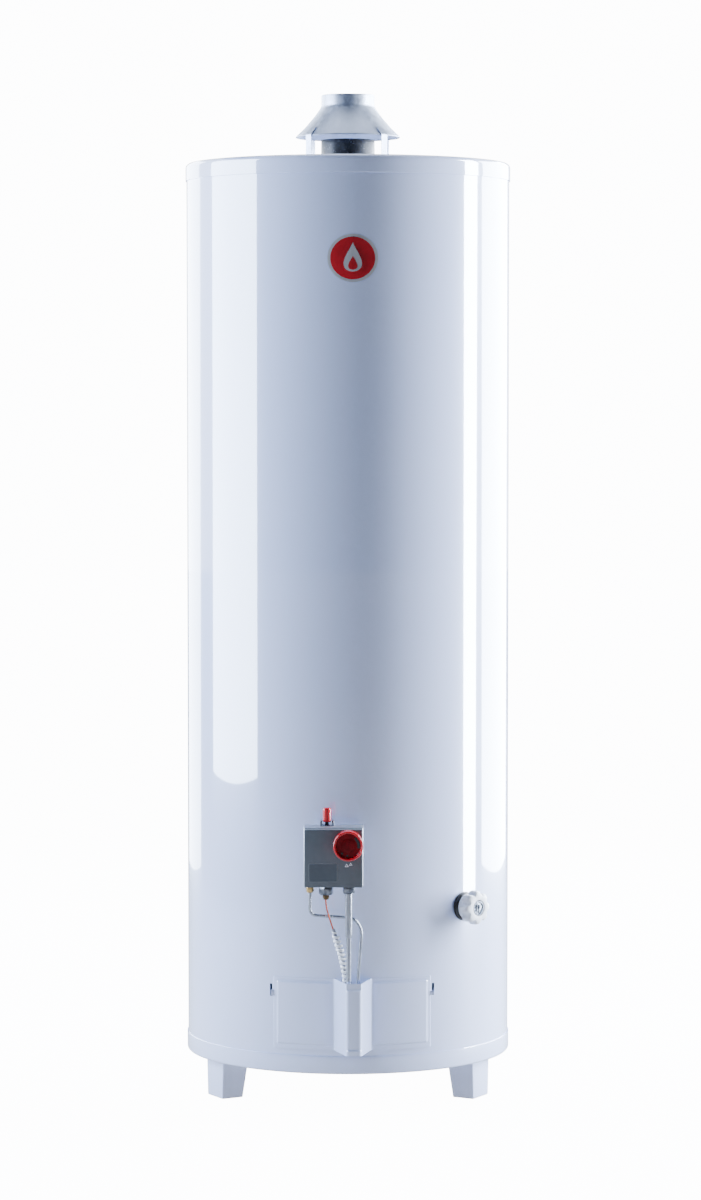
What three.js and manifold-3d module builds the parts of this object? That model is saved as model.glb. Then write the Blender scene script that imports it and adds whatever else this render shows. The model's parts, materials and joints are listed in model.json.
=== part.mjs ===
// Tank water heater: a gas-fired storage heater on three feet, with a draught hood on top,
// a gas valve with its tubes on the front, a lift-off access door and a drain valve.
// Millimetres, +Z up, the front faces -Y. The tank's axis is the Z axis of the inner group;
// the outer group moves it so that the origin is the middle of the whole object's footprint.
import * as THREE from 'three';
import { mergeVertices } from 'three/addons/utils/BufferGeometryUtils.js';
import Module from 'manifold-3d';

const wasm = await Module();
wasm.setup();

// ---------------------------------------------------------------- driving dimensions

const gap = 0.3; // between touching pieces
const running = 0.5; // between moving pieces
const sheet = 1; // casing sheet
const casingRadius = 230;
const footHeight = 54;
const casingHeight = 1259; // from the ring's underside to the cover's top
const ringSkirt = 25.5;
const coverSkirt = 25;
const coverEdge = 7; // rounded rim of the cover
const tankRadius = 200;
const tankWall = 2.5;
const chamberHeight = 150; // burner space under the tank's bottom head
const headRise = 35;
const topSpace = 37; // between the tank's crown and the cover
const flueRadius = 38;
const flueWall = 2;
const flueRise = 34; // above the cover
const airHoleRadius = 120;
const collarRadius = 37.5;
const collarHeight = 12.5;
const coneTopRadius = 40;
const coneBottomRadius = 74;
const coneHeight = 47.5;
const hoodLift = 37; // brim above the cover
const hoodSheet = 1;
const legWidth = 10.5;
const legAngles = [42.8, 132.8, 222.8, 312.8];
const footAngles = { foot_left: -60, foot_right: 60, foot_rear: 180 };
const footReach = 216; // outer face of a foot
const footWidthTop = 50;
const footWidthBottom = 45;
const footDepthTop = 40;
const footDepthBottom = 32;
const footSheet = 2;
const portSide = 95; // water ports, either side of the middle
const portBack = 60; // and behind it
const anodeBack = 125;
const nippleRadius = 13.2;
const nippleBore = 10;
const nippleRise = 13;
const dipLength = 850;
const anodeRadius = 10;
const anodeLength = 620;
const frontTurn = 1.7; // degrees the casing's front is turned from the tank's
const doorHalfAngle = 28.2;
const doorLift = 34; // door's lower edge above the ring's underside
const doorHeight = 99;
const openingHalfAngle = 21;
const openingInset = 8;
const snoutDepth = 48;
const snoutBaseWidth = 58;
const snoutFrontWidth = 20;
const hookBeyond = 0.9; // degrees past the door's edge
const hookDrop = 12; // from the door's top to the hook's top
const hookHeight = 15;
const valveLift = 307.9; // valve's centre above the ring's underside
const valveSide = -19.4; // and to the side of the front line
const valveWidth = 78.5;
const valveFront = 75; // cover's face beyond the casing
const coverDepth = 14;
const valveBack = 23; // valve's back beyond the casing
const bodyMargin = 1; // body wider than its cover
const neckRadius = 15;
const probeRadius = 5.5;
const probeLength = 130;
const knobRadius = 20.4;
const knobHeight = 22;
const knobShaft = 4;
const buttonSide = -28.3;
const buttonRadius = 5.8;
const buttonHeight = 19;
const buttonTravel = 4;
const mainRadius = 3.4;
const mainCollarRadius = 5;
const mainSide = 1.2;
const pilotRadius = 2.8;
const pilotSide = -51.5;
const leadRadius = 1.1;
const leadSide = -29.6;
const sleeveRadius = 4.6;
const tubeReach = 34; // tube line beyond the casing
const burnerRadius = 70;
const burnerLift = 86; // burner plate above the ring's floor
const drainAngle = 44.5;
const drainLift = 224; // drain valve above the ring's underside
const wheelRadius = 23.6;
const wheelReach = 29; // wheel's face beyond the casing
const wheelDepth = 16;
const wheelLobes = 8;
const badgeDrop = 141; // badge centre below the cover's top
const badgeWidth = 70;
const badgeHeight = 66;
const around = 72; // facets of the casing
const inside = 36; // facets of the hidden vessels
const small = 20; // facets of the fittings

// ---------------------------------------------------------------- derived places

const ringBottom = footHeight;
const casingTop = ringBottom + casingHeight;
const floorTop = ringBottom + sheet;
const jacketOuter = casingRadius - sheet - gap;
const jacketInner = jacketOuter - sheet;
const skirtBottom = floorTop + gap;
const bottomHead = floorTop + chamberHeight;
const crown = casingTop - sheet - topSpace;
const shoulder = crown - headRise;
const doorBottom = ringBottom + doorLift;
const doorTop = doorBottom + doorHeight;
const doorInner = casingRadius - sheet;
const valveZ = ringBottom + valveLift;
const valveHalf = valveWidth / 2;
const valveBottom = valveZ - valveHalf - bodyMargin;
const valveTop = valveZ + valveHalf + bodyMargin;
const knobX = valveSide + valveHalf + bodyMargin - knobRadius + 0.3;
const knobZ = valveZ + valveHalf - knobRadius + 0.3;
const knobBack = -(casingRadius + valveFront + running);
const tubeY = -(casingRadius + tubeReach);
const drainZ = ringBottom + drainLift;
const burnerZ = floorTop + burnerLift;
const flueTop = casingTop + flueRise;
const brim = casingTop + hoodLift;
const frameShift = (casingRadius + valveFront + running + knobHeight - casingRadius) / 2;

// ---------------------------------------------------------------- finishes

function finish(color, roughness, metalness) {
  return new THREE.MeshStandardMaterial({ color, roughness, metalness });
}

const enamel = () => finish(0xeef1f8, 0.18, 0);
const zinc = () => finish(0xb4bac6, 0.4, 0.9);
const steel = () => finish(0x6d7178, 0.5, 0.9);
const blackSteel = () => finish(0x25272c, 0.75, 0.3);
const glassLining = () => finish(0x2d4a78, 0.3, 0);
const wool = () => finish(0xd9c46a, 0.95, 0);
const magnesium = () => finish(0xa8aaad, 0.55, 0.8);
const polymer = () => finish(0xe8e8e4, 0.5, 0);
const bluePlastic = () => finish(0x2452b0, 0.45, 0);
const redPlastic = () => finish(0xb3121d, 0.3, 0);
const greyPlastic = () => finish(0x505c69, 0.45, 0);
const aluminium = () => finish(0xc4c9d4, 0.35, 0.95);
const brass = () => finish(0xb08d4c, 0.35, 0.95);
const copper = () => finish(0xa2542f, 0.4, 0.9);
const braid = () => finish(0xeceff6, 0.8, 0);
const whitePlastic = () => finish(0xe9ecf2, 0.4, 0);

// ---------------------------------------------------------------- solids

// A closed three.js geometry as a solid that can be joined and cut.
function solidOf(geometry) {
  const bare = geometry.index ? geometry.toNonIndexed() : geometry.clone();
  bare.deleteAttribute('normal');
  bare.deleteAttribute('uv');
  const merged = mergeVertices(bare, 1e-3);
  const index = merged.index.array;
  const kept = [];
  for (let i = 0; i < index.length; i += 3) {
    const [a, b, c] = [index[i], index[i + 1], index[i + 2]];
    if (a !== b && b !== c && c !== a) kept.push(a, b, c);
  }
  const vertProperties = new Float32Array(merged.attributes.position.array);
  return new wasm.Manifold(
    new wasm.Mesh({ numProp: 3, vertProperties, triVerts: new Uint32Array(kept) }),
  );
}

function meshOf(name, solid, material) {
  const { vertProperties, triVerts } = solid.getMesh();
  const geometry = new THREE.BufferGeometry();
  geometry.setAttribute('position', new THREE.BufferAttribute(new Float32Array(vertProperties), 3));
  geometry.setIndex(new THREE.BufferAttribute(new Uint32Array(triVerts), 1));
  geometry.computeVertexNormals();
  const mesh = new THREE.Mesh(geometry, material);
  mesh.name = name;
  return mesh;
}

// A solid turned about Z from a closed outline of [radius, height] pairs.
function turned(outline, facets = small) {
  const area = outline.reduce((sum, [r, z], i) => {
    const [nextR, nextZ] = outline[(i + 1) % outline.length];
    return sum + r * nextZ - nextR * z;
  }, 0);
  const ordered = area > 0 ? [...outline] : [...outline].reverse();
  const onAxis = ordered.findIndex(([r], i) => {
    return r === 0 && ordered[(i + ordered.length - 1) % ordered.length][0] === 0;
  });
  const start = Math.max(onAxis, 0);
  const loop = [...ordered.slice(start), ...ordered.slice(0, start)];
  if (onAxis < 0) loop.push(loop[0]);
  const points = loop.map(([r, z]) => new THREE.Vector2(r, z));
  return solidOf(new THREE.LatheGeometry(points, facets).rotateX(Math.PI / 2));
}

function ring(inner, outer, bottom, top, facets = small) {
  return turned([[inner, bottom], [outer, bottom], [outer, top], [inner, top]], facets);
}

function disc(radius, bottom, top, facets = small) {
  return solidOf(
    new THREE.CylinderGeometry(radius, radius, top - bottom, facets)
      .rotateX(Math.PI / 2)
      .translate(0, 0, (bottom + top) / 2),
  );
}

function box(x0, x1, y0, y1, z0, z1) {
  return solidOf(
    new THREE.BoxGeometry(x1 - x0, y1 - y0, z1 - z0)
      .translate((x0 + x1) / 2, (y0 + y1) / 2, (z0 + z1) / 2),
  );
}

// An outline of [x, y] pairs raised along Z.
function prism(outline, bottom, top) {
  const shape = new THREE.Shape(outline.map(([x, y]) => new THREE.Vector2(x, y)));
  const geometry = new THREE.ExtrudeGeometry(shape, { depth: top - bottom, bevelEnabled: false });
  return solidOf(geometry.translate(0, 0, bottom));
}

function hexagon(acrossFlats) {
  const corner = acrossFlats / Math.sqrt(3);
  return Array.from({ length: 6 }, (_, i) => [
    corner * Math.cos((i * Math.PI) / 3),
    corner * Math.sin((i * Math.PI) / 3),
  ]);
}

const degrees = THREE.MathUtils.degToRad;

// Moves a solid made on the Z axis so that its +Z points along -Y, out of the casing's front.
function facingFront(solid) {
  return solid.rotate([90, 0, 0]);
}

function turnedBy(angle, ...meshes) {
  const group = new THREE.Group();
  group.rotation.z = degrees(angle);
  group.add(...meshes);
  return group;
}

// A wedge that holds everything within halfAngle of the front line.
function frontWedge(halfAngle, bottom, top, reach = 400) {
  const x = reach * Math.tan(degrees(halfAngle));
  return prism([[0, 0], [-x, -reach], [x, -reach]], bottom, top);
}

// A path through corners, each rounded by the same bend.
function bentPath(corners, bend) {
  const path = new THREE.CurvePath();
  let from = corners[0];
  for (let i = 1; i < corners.length - 1; i += 1) {
    const corner = corners[i];
    const back = corners[i - 1].clone().sub(corner);
    const ahead = corners[i + 1].clone().sub(corner);
    const reach = Math.min(bend, back.length() / 2.2, ahead.length() / 2.2);
    const entry = corner.clone().add(back.setLength(reach));
    const leave = corner.clone().add(ahead.setLength(reach));
    path.add(new THREE.LineCurve3(from, entry));
    path.add(new THREE.QuadraticBezierCurve3(entry, corner, leave));
    from = leave;
  }
  path.add(new THREE.LineCurve3(from, corners.at(-1)));
  return path;
}

function tube(path, radius, steps, sides = 10) {
  const outline = new THREE.Shape(
    Array.from({ length: sides }, (_, i) => new THREE.Vector2(
      radius * Math.cos((2 * Math.PI * i) / sides),
      radius * Math.sin((2 * Math.PI * i) / sides),
    )),
  );
  return solidOf(new THREE.ExtrudeGeometry(outline, { steps, extrudePath: path, bevelEnabled: false }));
}

const at = (x, y, z) => new THREE.Vector3(x, y, z);

// ---------------------------------------------------------------- base and feet

const footScrewRadius = 2.5;
const footScrewReach = footReach - footDepthTop + 14;

function footScrewHoles(bottom, top) {
  const hole = disc(footScrewRadius + gap, bottom, top, 16).translate([0, -footScrewReach, 0]);
  return Object.values(footAngles).map((angle) => hole.rotate([0, 0, angle]));
}

// The pressed pan under the casing, with a hole for combustion air and an upright skirt.
function baseRing() {
  const edge = 3;
  const pan = turned([
    [airHoleRadius, ringBottom],
    [casingRadius - edge, ringBottom],
    [casingRadius, ringBottom + edge],
    [casingRadius, ringBottom + ringSkirt],
    [casingRadius - sheet, ringBottom + ringSkirt],
    [casingRadius - sheet, ringBottom + edge + sheet / 2],
    [casingRadius - edge - sheet / 2, floorTop],
    [airHoleRadius, floorTop],
  ], around);
  const holes = footScrewHoles(ringBottom - 1, floorTop + 1);
  return meshOf('base_ring', holes.reduce((pan_, hole) => pan_.subtract(hole), pan), enamel());
}

// A tapered block: the front stays upright, the sides and the back draw in towards the floor.
function footBlock(shrink, bottom, top) {
  const front = prism([
    [-footWidthBottom / 2 + shrink, bottom],
    [footWidthBottom / 2 - shrink, bottom],
    [footWidthTop / 2 - shrink, top],
    [-footWidthTop / 2 + shrink, top],
  ], 0, footReach - shrink).rotate([90, 0, 0]);
  const innerFace = -footReach + footDepthTop;
  const side = prism([
    [-footReach + shrink, bottom],
    [-footReach + footDepthBottom - shrink, bottom],
    [innerFace - shrink, top],
    [-footReach + shrink, top],
  ], -footWidthTop, footWidthTop).rotate([90, 0, 90]);
  return side.intersect(front);
}

function foot(name) {
  const top = ringBottom - gap;
  const block = footBlock(0, 0, top);
  const open = footBlock(footSheet, footSheet, top - footSheet);
  const wayOut = box(
    -footWidthBottom / 2 + 2 * footSheet, footWidthBottom / 2 - 2 * footSheet,
    -footReach + footDepthBottom / 2, -footReach + 2 * footDepthTop,
    footSheet, top - footSheet,
  );
  const hole = disc(footScrewRadius + gap, top - 2 * footSheet, top + 1, 16)
    .translate([0, -footScrewReach, 0]);
  const shell = block.subtract(open).subtract(wayOut).subtract(hole);
  return meshOf(name, shell, enamel());
}

function footScrew(name) {
  const headTop = ringBottom - gap - footSheet - gap;
  const screw = turned([
    [0, headTop - 3],
    [5, headTop - 2.4],
    [5, headTop],
    [footScrewRadius, headTop],
    [footScrewRadius, floorTop + 5],
    [0, floorTop + 5],
  ], 16);
  return meshOf(name, screw.translate([0, -footScrewReach, 0]), zinc());
}

const feet = Object.entries(footAngles).map(([name, angle]) => {
  return turnedBy(angle, foot(name), footScrew(name.replace('foot_', 'foot_screw_')));
});

// ---------------------------------------------------------------- tank and what is welded to it

const valvePort = neckRadius - 1;
const drainPort = 12;
const socketWall = 4;

function headCurve(outer, inner, edge, steps) {
  return Array.from({ length: steps + 1 }, (_, i) => {
    const r = outer + ((inner - outer) * i) / steps;
    return [r, edge + headRise * Math.sqrt(Math.max(0, 1 - (r / outer) ** 2))];
  });
}

const flueHole = flueRadius + gap;
const headSteps = 4;
const outerHead = headCurve(tankRadius, flueHole, shoulder, headSteps);
const innerHead = headCurve(tankRadius - tankWall, flueHole, shoulder - tankWall, headSteps);
const lowHead = headCurve(tankRadius - tankWall, flueHole, bottomHead, headSteps);

function headHeight(r, edge) {
  return edge + headRise * Math.sqrt(1 - (r / tankRadius) ** 2);
}

const ports = {
  cold: { x: -portSide, y: portBack, radius: nippleRadius },
  hot: { x: portSide, y: portBack, radius: nippleRadius },
  anode: { x: 0, y: anodeBack, radius: nippleRadius },
};

function socketSpan({ x, y }) {
  const height = headHeight(Math.hypot(x, y), shoulder);
  return [height - 9, height + 7];
}

function tank() {
  const shell = turned([
    ...[...outerHead].reverse(),
    [tankRadius, skirtBottom],
    [tankRadius - tankWall, skirtBottom],
    ...lowHead.map(([r, z]) => [r, z - tankWall]),
    ...[...lowHead].reverse(),
    ...innerHead,
  ], inside);
  const drain = disc(drainPort + socketWall + gap, tankRadius - 20, tankRadius + 20, small);
  const cuts = [
    frontWedge(openingHalfAngle, doorBottom + openingInset, doorTop - openingInset)
      .rotate([0, 0, frontTurn]),
    facingFront(drain).translate([0, 0, drainZ]).rotate([0, 0, drainAngle]),
    facingFront(disc(valvePort + socketWall + gap, tankRadius - 20, tankRadius + 20, small))
      .translate([0, 0, valveZ]),
    ...Object.values(ports).map(({ x, y, radius }) => {
      return disc(radius + gap + socketWall + gap, shoulder, casingTop, small).translate([x, y, 0]);
    }),
  ];
  return meshOf('tank', cuts.reduce((body, cut) => body.subtract(cut), shell), glassLining());
}

function topSocket(name) {
  const port = ports[name];
  const [bottom, top] = socketSpan(port);
  const inner = port.radius + gap;
  const socket = ring(inner, inner + socketWall, bottom, top);
  return meshOf(`${name}_socket`, socket.translate([port.x, port.y, 0]), steel());
}

function sideSocket(name, inner, angle, height) {
  const socket = facingFront(ring(inner, inner + socketWall, tankRadius - 8, tankRadius + 6));
  return turnedBy(angle, meshOf(name, socket.translate([0, 0, height]), steel()));
}

function flueTube() {
  const bottom = bottomHead + headRise - tankWall - 8;
  const tubeWall = ring(flueRadius - flueWall, flueRadius, bottom, flueTop, inside);
  const notch = box(-flueRadius - 2, flueRadius + 2, -1.6, 1.6, flueTop - 8, flueTop + 1);
  return meshOf('flue_tube', tubeWall.subtract(notch), blackSteel());
}

// A strip twisted along the flue, hung by two ears in the notches of the flue's rim.
function flueBaffle() {
  const width = 2 * (flueRadius - flueWall) - 6;
  const top = flueTop - 10;
  const bottom = bottomHead + 60;
  const turns = 2.5;
  const steps = 30;
  const strip = new THREE.BoxGeometry(width, 1.5, top - bottom, 2, 1, steps);
  const place = strip.attributes.position;
  for (let i = 0; i < place.count; i += 1) {
    const point = at(place.getX(i), place.getY(i), place.getZ(i));
    const share = 0.5 - point.z / (top - bottom);
    point.applyAxisAngle(at(0, 0, 1), 2 * Math.PI * turns * share);
    place.setXYZ(i, point.x, point.y, point.z + (top + bottom) / 2);
  }
  const ears = box(-flueRadius + 0.6, flueRadius - 0.6, -0.75, 0.75, flueTop - 7, flueTop - 2);
  const neck = box(-width / 2 + 8, width / 2 - 8, -0.75, 0.75, top - 1, flueTop - 4);
  return meshOf('flue_baffle', solidOf(strip).add(neck).add(ears), steel());
}

// ---------------------------------------------------------------- casing

const hookX = casingRadius * Math.sin(degrees(doorHalfAngle + hookBeyond));
const hookY = casingRadius * Math.cos(degrees(doorHalfAngle + hookBeyond));
const hookTop = doorTop - hookDrop;

function hookSlots() {
  const slot = box(-1.6, 1.6, -hookY - 8, -hookY + 16, hookTop - hookHeight - 1, hookTop + 1);
  return [-1, 1].map((side) => slot.translate([side * hookX, 0, 0]));
}

function jacket() {
  const bottom = floorTop + gap + 2.5;
  const shell = ring(jacketInner, jacketOuter, bottom, casingTop - coverEdge - sheet, around);
  const drainHole = facingFront(disc(drainPort + 2, jacketInner - 10, jacketOuter + 10, small));
  const valveHole = facingFront(disc(neckRadius + 4, jacketInner - 10, jacketOuter + 10, small));
  const cuts = [
    frontWedge(openingHalfAngle, doorBottom + openingInset, doorTop - openingInset)
      .rotate([0, 0, frontTurn]),
    ...hookSlots().map((slot) => slot.rotate([0, 0, frontTurn])),
    drainHole.translate([0, 0, drainZ]).rotate([0, 0, drainAngle]),
    valveHole.translate([0, 0, valveZ]),
  ];
  return meshOf('jacket', cuts.reduce((body, cut) => body.subtract(cut), shell), enamel());
}

const nippleCollarRadius = nippleRadius + gap + 3;

function topCover() {
  const steps = 2;
  const rim = (radius, centreR, centreZ) => Array.from({ length: steps + 1 }, (_, i) => {
    const angle = ((Math.PI / 2) * i) / steps;
    return [centreR + radius * Math.cos(angle), centreZ + radius * Math.sin(angle)];
  });
  const centreR = casingRadius - coverEdge;
  const centreZ = casingTop - coverEdge;
  const cover = turned([
    [flueHole, casingTop - sheet],
    ...rim(coverEdge - sheet, centreR, centreZ).reverse(),
    [casingRadius - sheet, casingTop - coverSkirt],
    [casingRadius, casingTop - coverSkirt],
    ...rim(coverEdge, centreR, centreZ),
    [flueHole, casingTop],
  ], around);
  const holes = Object.values(ports).map(({ x, y }) => {
    return disc(nippleCollarRadius + gap, casingTop - 5, casingTop + 5).translate([x, y, 0]);
  });
  return meshOf('top_cover', holes.reduce((body, hole) => body.subtract(hole), cover), enamel());
}

function sideInsulation() {
  const wall = ring(tankRadius + gap, jacketInner - gap, bottomHead, shoulder, inside);
  const holes = [
    facingFront(disc(drainPort + socketWall + 1, tankRadius - 10, casingRadius + 10, small))
      .translate([0, 0, drainZ]).rotate([0, 0, drainAngle]),
    facingFront(disc(neckRadius + 5, tankRadius - 10, casingRadius + 10, small))
      .translate([0, 0, valveZ]),
  ];
  return meshOf('side_insulation', holes.reduce((body, hole) => body.subtract(hole), wall), wool());
}

function topInsulation() {
  const lift = gap + 0.5;
  const top = casingTop - sheet - gap;
  const outer = jacketInner - gap;
  const blanket = turned([
    ...outerHead.map(([r, z]) => [r, z + lift]).reverse(),
    [tankRadius + gap, shoulder + lift],
    [outer, shoulder + lift],
    [outer, top - coverEdge],
    [outer - coverEdge, top],
    [flueHole, top],
  ], inside);
  const holes = Object.values(ports).map(({ x, y, radius }) => {
    return disc(radius + socketWall + 2 * gap + 1, shoulder - 5, casingTop).translate([x, y, 0]);
  });
  return meshOf('top_insulation', holes.reduce((body, hole) => body.subtract(hole), blanket), wool());
}

// ---------------------------------------------------------------- water connections

const nippleTop = casingTop + nippleRise;
const recessRadius = nippleBore + 1.6;
const recessDepth = 2.6;

function nipple(name) {
  const port = ports[name];
  const [bottom] = socketSpan(port);
  const outline = [
    [nippleBore, bottom + 2],
    [nippleRadius, bottom + 2],
    [nippleRadius, nippleTop - 1],
    [nippleRadius - 0.6, nippleTop],
    [recessRadius, nippleTop],
    [recessRadius, nippleTop - recessDepth],
    [nippleBore, nippleTop - recessDepth],
  ];
  return meshOf(`${name}_nipple`, turned(outline).translate([port.x, port.y, 0]), zinc());
}

// The plastic ring that closes the cover round a nipple, its colour telling cold from hot.
function nippleCollar(name, plastic) {
  const port = ports[name];
  const inner = nippleRadius + gap;
  const outline = [
    [inner, casingTop - 4],
    [nippleCollarRadius, casingTop - 4],
    [nippleCollarRadius, casingTop + gap],
    [inner + 9, casingTop + gap],
    [inner + 9, casingTop + 2.5],
    [inner + 7.5, casingTop + 4],
    [inner, casingTop + 4],
  ];
  return meshOf(`${name}_collar`, turned(outline).translate([port.x, port.y, 0]), plastic);
}

function dipTube() {
  const outer = nippleBore - gap;
  const flange = nippleTop - recessDepth + gap;
  const outline = [
    [outer - 1.5, flange - dipLength],
    [outer, flange - dipLength],
    [outer, flange],
    [recessRadius - gap, flange],
    [recessRadius - gap, nippleTop - gap],
    [outer - 1.5, nippleTop - gap],
  ];
  return meshOf('dip_tube', turned(outline).translate([ports.cold.x, ports.cold.y, 0]), polymer());
}

function anodeRod() {
  const [bottom, top] = socketSpan(ports.anode);
  const rod = turned([
    [0, top - anodeLength],
    [anodeRadius, top - anodeLength],
    [anodeRadius, bottom + 3],
    [nippleRadius, bottom + 3],
    [nippleRadius, casingTop - 4],
    [0, casingTop - 4],
  ]);
  const head = prism(hexagon(27), casingTop - 5, casingTop + 7);
  return meshOf('anode_rod', rod.add(head).translate([0, ports.anode.y, 0]), magnesium());
}

// ---------------------------------------------------------------- draught hood

const coneSlope = (coneBottomRadius - coneTopRadius) / coneHeight;
const legReach = coneBottomRadius + 0.6;
const legTop = brim + 7;

function draughtHood() {
  const top = brim + coneHeight;
  const outline = [
    [coneBottomRadius, brim],
    [coneTopRadius, top],
    [collarRadius, top],
    [collarRadius, top + collarHeight],
    [collarRadius - hoodSheet, top + collarHeight],
    [collarRadius - hoodSheet, top - hoodSheet],
    [coneTopRadius - hoodSheet, top - hoodSheet],
    [coneBottomRadius - hoodSheet * 1.4, brim],
  ];
  const slit = box(
    -legWidth / 2 - 0.5, legWidth / 2 + 0.5,
    -legReach - 2, -legReach + 12,
    legTop, legTop + 3,
  );
  const hood = legAngles.reduce((body, angle) => {
    return body.subtract(slit.rotate([0, 0, angle]));
  }, turned(outline, inside));
  return meshOf('draught_hood', hood, zinc());
}

// A strip that stands on the cover, passes outside the brim and folds in through the cone's slit.
function hoodLeg(index) {
  const half = legWidth / 2;
  const outer = -legReach - hoodSheet;
  const slitReach = coneBottomRadius - coneSlope * (legTop + 1.5 - brim) - 7;
  const top = legTop + 1 + hoodSheet;
  const upright = box(-half, half, outer, -legReach, casingTop + gap, top);
  const tab = box(-half, half, outer, -slitReach, top - hoodSheet, top);
  const sole = box(-half, half, outer - 10, -legReach, casingTop + gap, casingTop + gap + hoodSheet);
  return meshOf(`hood_leg_${index + 1}`, upright.add(tab).add(sole), zinc());
}

// ---------------------------------------------------------------- access door

const snoutWall = 1;

function snoutOutline(shrink) {
  const root = casingRadius - 12;
  const front = casingRadius + snoutDepth - shrink;
  const baseHalf = snoutBaseWidth / 2 - shrink * 1.3;
  const frontHalf = snoutFrontWidth / 2 - shrink * 0.6;
  return [[-baseHalf, -root], [-frontHalf, -front], [frontHalf, -front], [baseHalf, -root]];
}

function accessDoor() {
  const plate = ring(doorInner, casingRadius, doorBottom, doorTop, around)
    .intersect(frontWedge(doorHalfAngle, doorBottom - 1, doorTop + 1));
  const snout = prism(snoutOutline(0), doorBottom, doorTop);
  const hollow = prism(snoutOutline(snoutWall), doorBottom + sheet, doorTop + 1);
  const tank_ = disc(doorInner, doorBottom - 1, doorTop + 1, around);
  const bridge = 4.4;
  const rest = -Math.sqrt(doorInner ** 2 - (hookX - bridge) ** 2);
  const hookTab = box(-0.5, 0.5, rest - 1.2, -hookY + 7, hookTop - hookHeight, hookTop);
  const hookBridge = box(-bridge, 0.5, rest - 1.2, rest, hookTop - hookHeight, hookTop);
  const hook = hookTab.add(hookBridge);
  const door = plate.add(snout).subtract(hollow).subtract(tank_)
    .add(hook.translate([hookX, 0, 0]))
    .add(hook.mirror([1, 0, 0]).translate([-hookX, 0, 0]));
  return meshOf('access_door', door, enamel());
}

// The plate that closes the burner space behind the door, notched where the tubes go in.
function innerDoor() {
  const inner = tankRadius + 1;
  const plate = ring(inner, inner + sheet, doorBottom + 1, doorTop - 1, inside)
    .intersect(frontWedge(openingHalfAngle + 3, doorBottom, doorTop));
  const notch = box(-24, 24, -tankRadius - 20, -tankRadius + 40, doorBottom, doorBottom + 66);
  return meshOf('inner_door', plate.subtract(notch), steel());
}

// ---------------------------------------------------------------- badge

function badge() {
  const outline = Array.from({ length: 36 }, (_, i) => [
    (badgeWidth / 2) * Math.cos((2 * Math.PI * i) / 36),
    (badgeHeight / 2) * Math.sin((2 * Math.PI * i) / 36),
  ]);
  const inner = jacketOuter + gap;
  const centre = casingTop - badgeDrop;
  const plug = facingFront(prism(outline, casingRadius - 30, casingRadius + 10));
  const plate = ring(inner, inner + 1.5, centre - badgeHeight, centre + badgeHeight, around)
    .intersect(plug.translate([0, 0, centre]));
  return meshOf('badge', plate, redPlastic());
}

// ---------------------------------------------------------------- gas valve

const bodyLeft = valveSide - valveHalf - bodyMargin;
const bodyRight = valveSide + valveHalf + bodyMargin;
const bodyFront = -(casingRadius + valveFront - coverDepth - gap);
const bodyBack = -(casingRadius + valveBack);
const inletRadius = 9;
const inletDepth = 18;
const inletY = (bodyFront + bodyBack) / 2;

function valveBody() {
  const block = box(bodyLeft, bodyRight, bodyFront, bodyBack, valveBottom, valveTop);
  const neck = facingFront(disc(neckRadius, tankRadius + 9, casingRadius + valveBack + 1))
    .translate([0, 0, valveZ]);
  const nose = facingFront(disc(valvePort - gap, tankRadius - 6, tankRadius + 10))
    .translate([0, 0, valveZ]);
  const inlet = disc(inletRadius, 0, inletDepth + 1).rotate([0, 90, 0])
    .translate([bodyLeft - 1, inletY, valveZ]);
  const stemHole = disc(buttonStem + running, valveTop - buttonStemDepth - buttonTravel - 1, valveTop + 1)
    .translate([buttonSide, tubeY, 0]);
  const probeHole = facingFront(disc(probeRadius + gap, tankRadius - 7, tankRadius + 12))
    .translate([0, 0, valveZ]);
  const body = block.add(neck).add(nose).subtract(inlet).subtract(stemHole).subtract(probeHole);
  return meshOf('valve_body', body, aluminium());
}

function valveCover() {
  const front = -(casingRadius + valveFront);
  const left = valveSide - valveHalf;
  const right = valveSide + valveHalf;
  const plate = box(left, right, front, front + coverDepth, valveZ - valveHalf, valveZ + valveHalf);
  const shaftHole = facingFront(disc(knobShaft + running, casingRadius, casingRadius + valveFront + 5))
    .translate([knobX, 0, knobZ]);
  const panelX = valveSide - 14.1;
  const panelZ = valveZ - 19.3;
  const panel = box(panelX - 18.7, panelX + 18.7, front - 1, front + 0.6, panelZ - 12, panelZ + 12);
  return meshOf('valve_cover', plate.subtract(shaftHole).subtract(panel), greyPlastic());
}

function thermostatProbe() {
  const probe = disc(probeRadius, tankRadius - 5 - probeLength, tankRadius + 11, 20);
  return meshOf('thermostat_probe', facingFront(probe).translate([0, 0, valveZ]), copper());
}

// A cup-shaped knob: a raised grip rim round a sunk dial, on a short shaft.
function temperatureKnob() {
  const rim = 3;
  const sunk = 5;
  const back = -knobBack;
  const front = back + knobHeight;
  const outline = [
    [0, back - coverDepth + 3],
    [knobShaft, back - coverDepth + 3],
    [knobShaft, back],
    [knobRadius - 1, back],
    [knobRadius, back + 1],
    [knobRadius, front - 1.5],
    [knobRadius - 1, front],
    [knobRadius - rim, front],
    [knobRadius - rim - 0.5, front - sunk],
    [0, front - sunk],
  ];
  const knob = turned(outline, 32);
  const pointer = box(-1, 1, 5, knobRadius - rim - 1, front - sunk - 1, front - sunk + 1);
  const shaped = facingFront(knob.add(pointer)).translate([knobX, 0, knobZ]);
  return meshOf('temperature_knob', shaped, redPlastic());
}

const buttonStem = 2.6;
const buttonStemDepth = 10;
const bracketWidth = 19.4;
const bracketHeight = 7;
const bracketDepth = 15;
const bracketSheet = 0.6;


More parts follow.
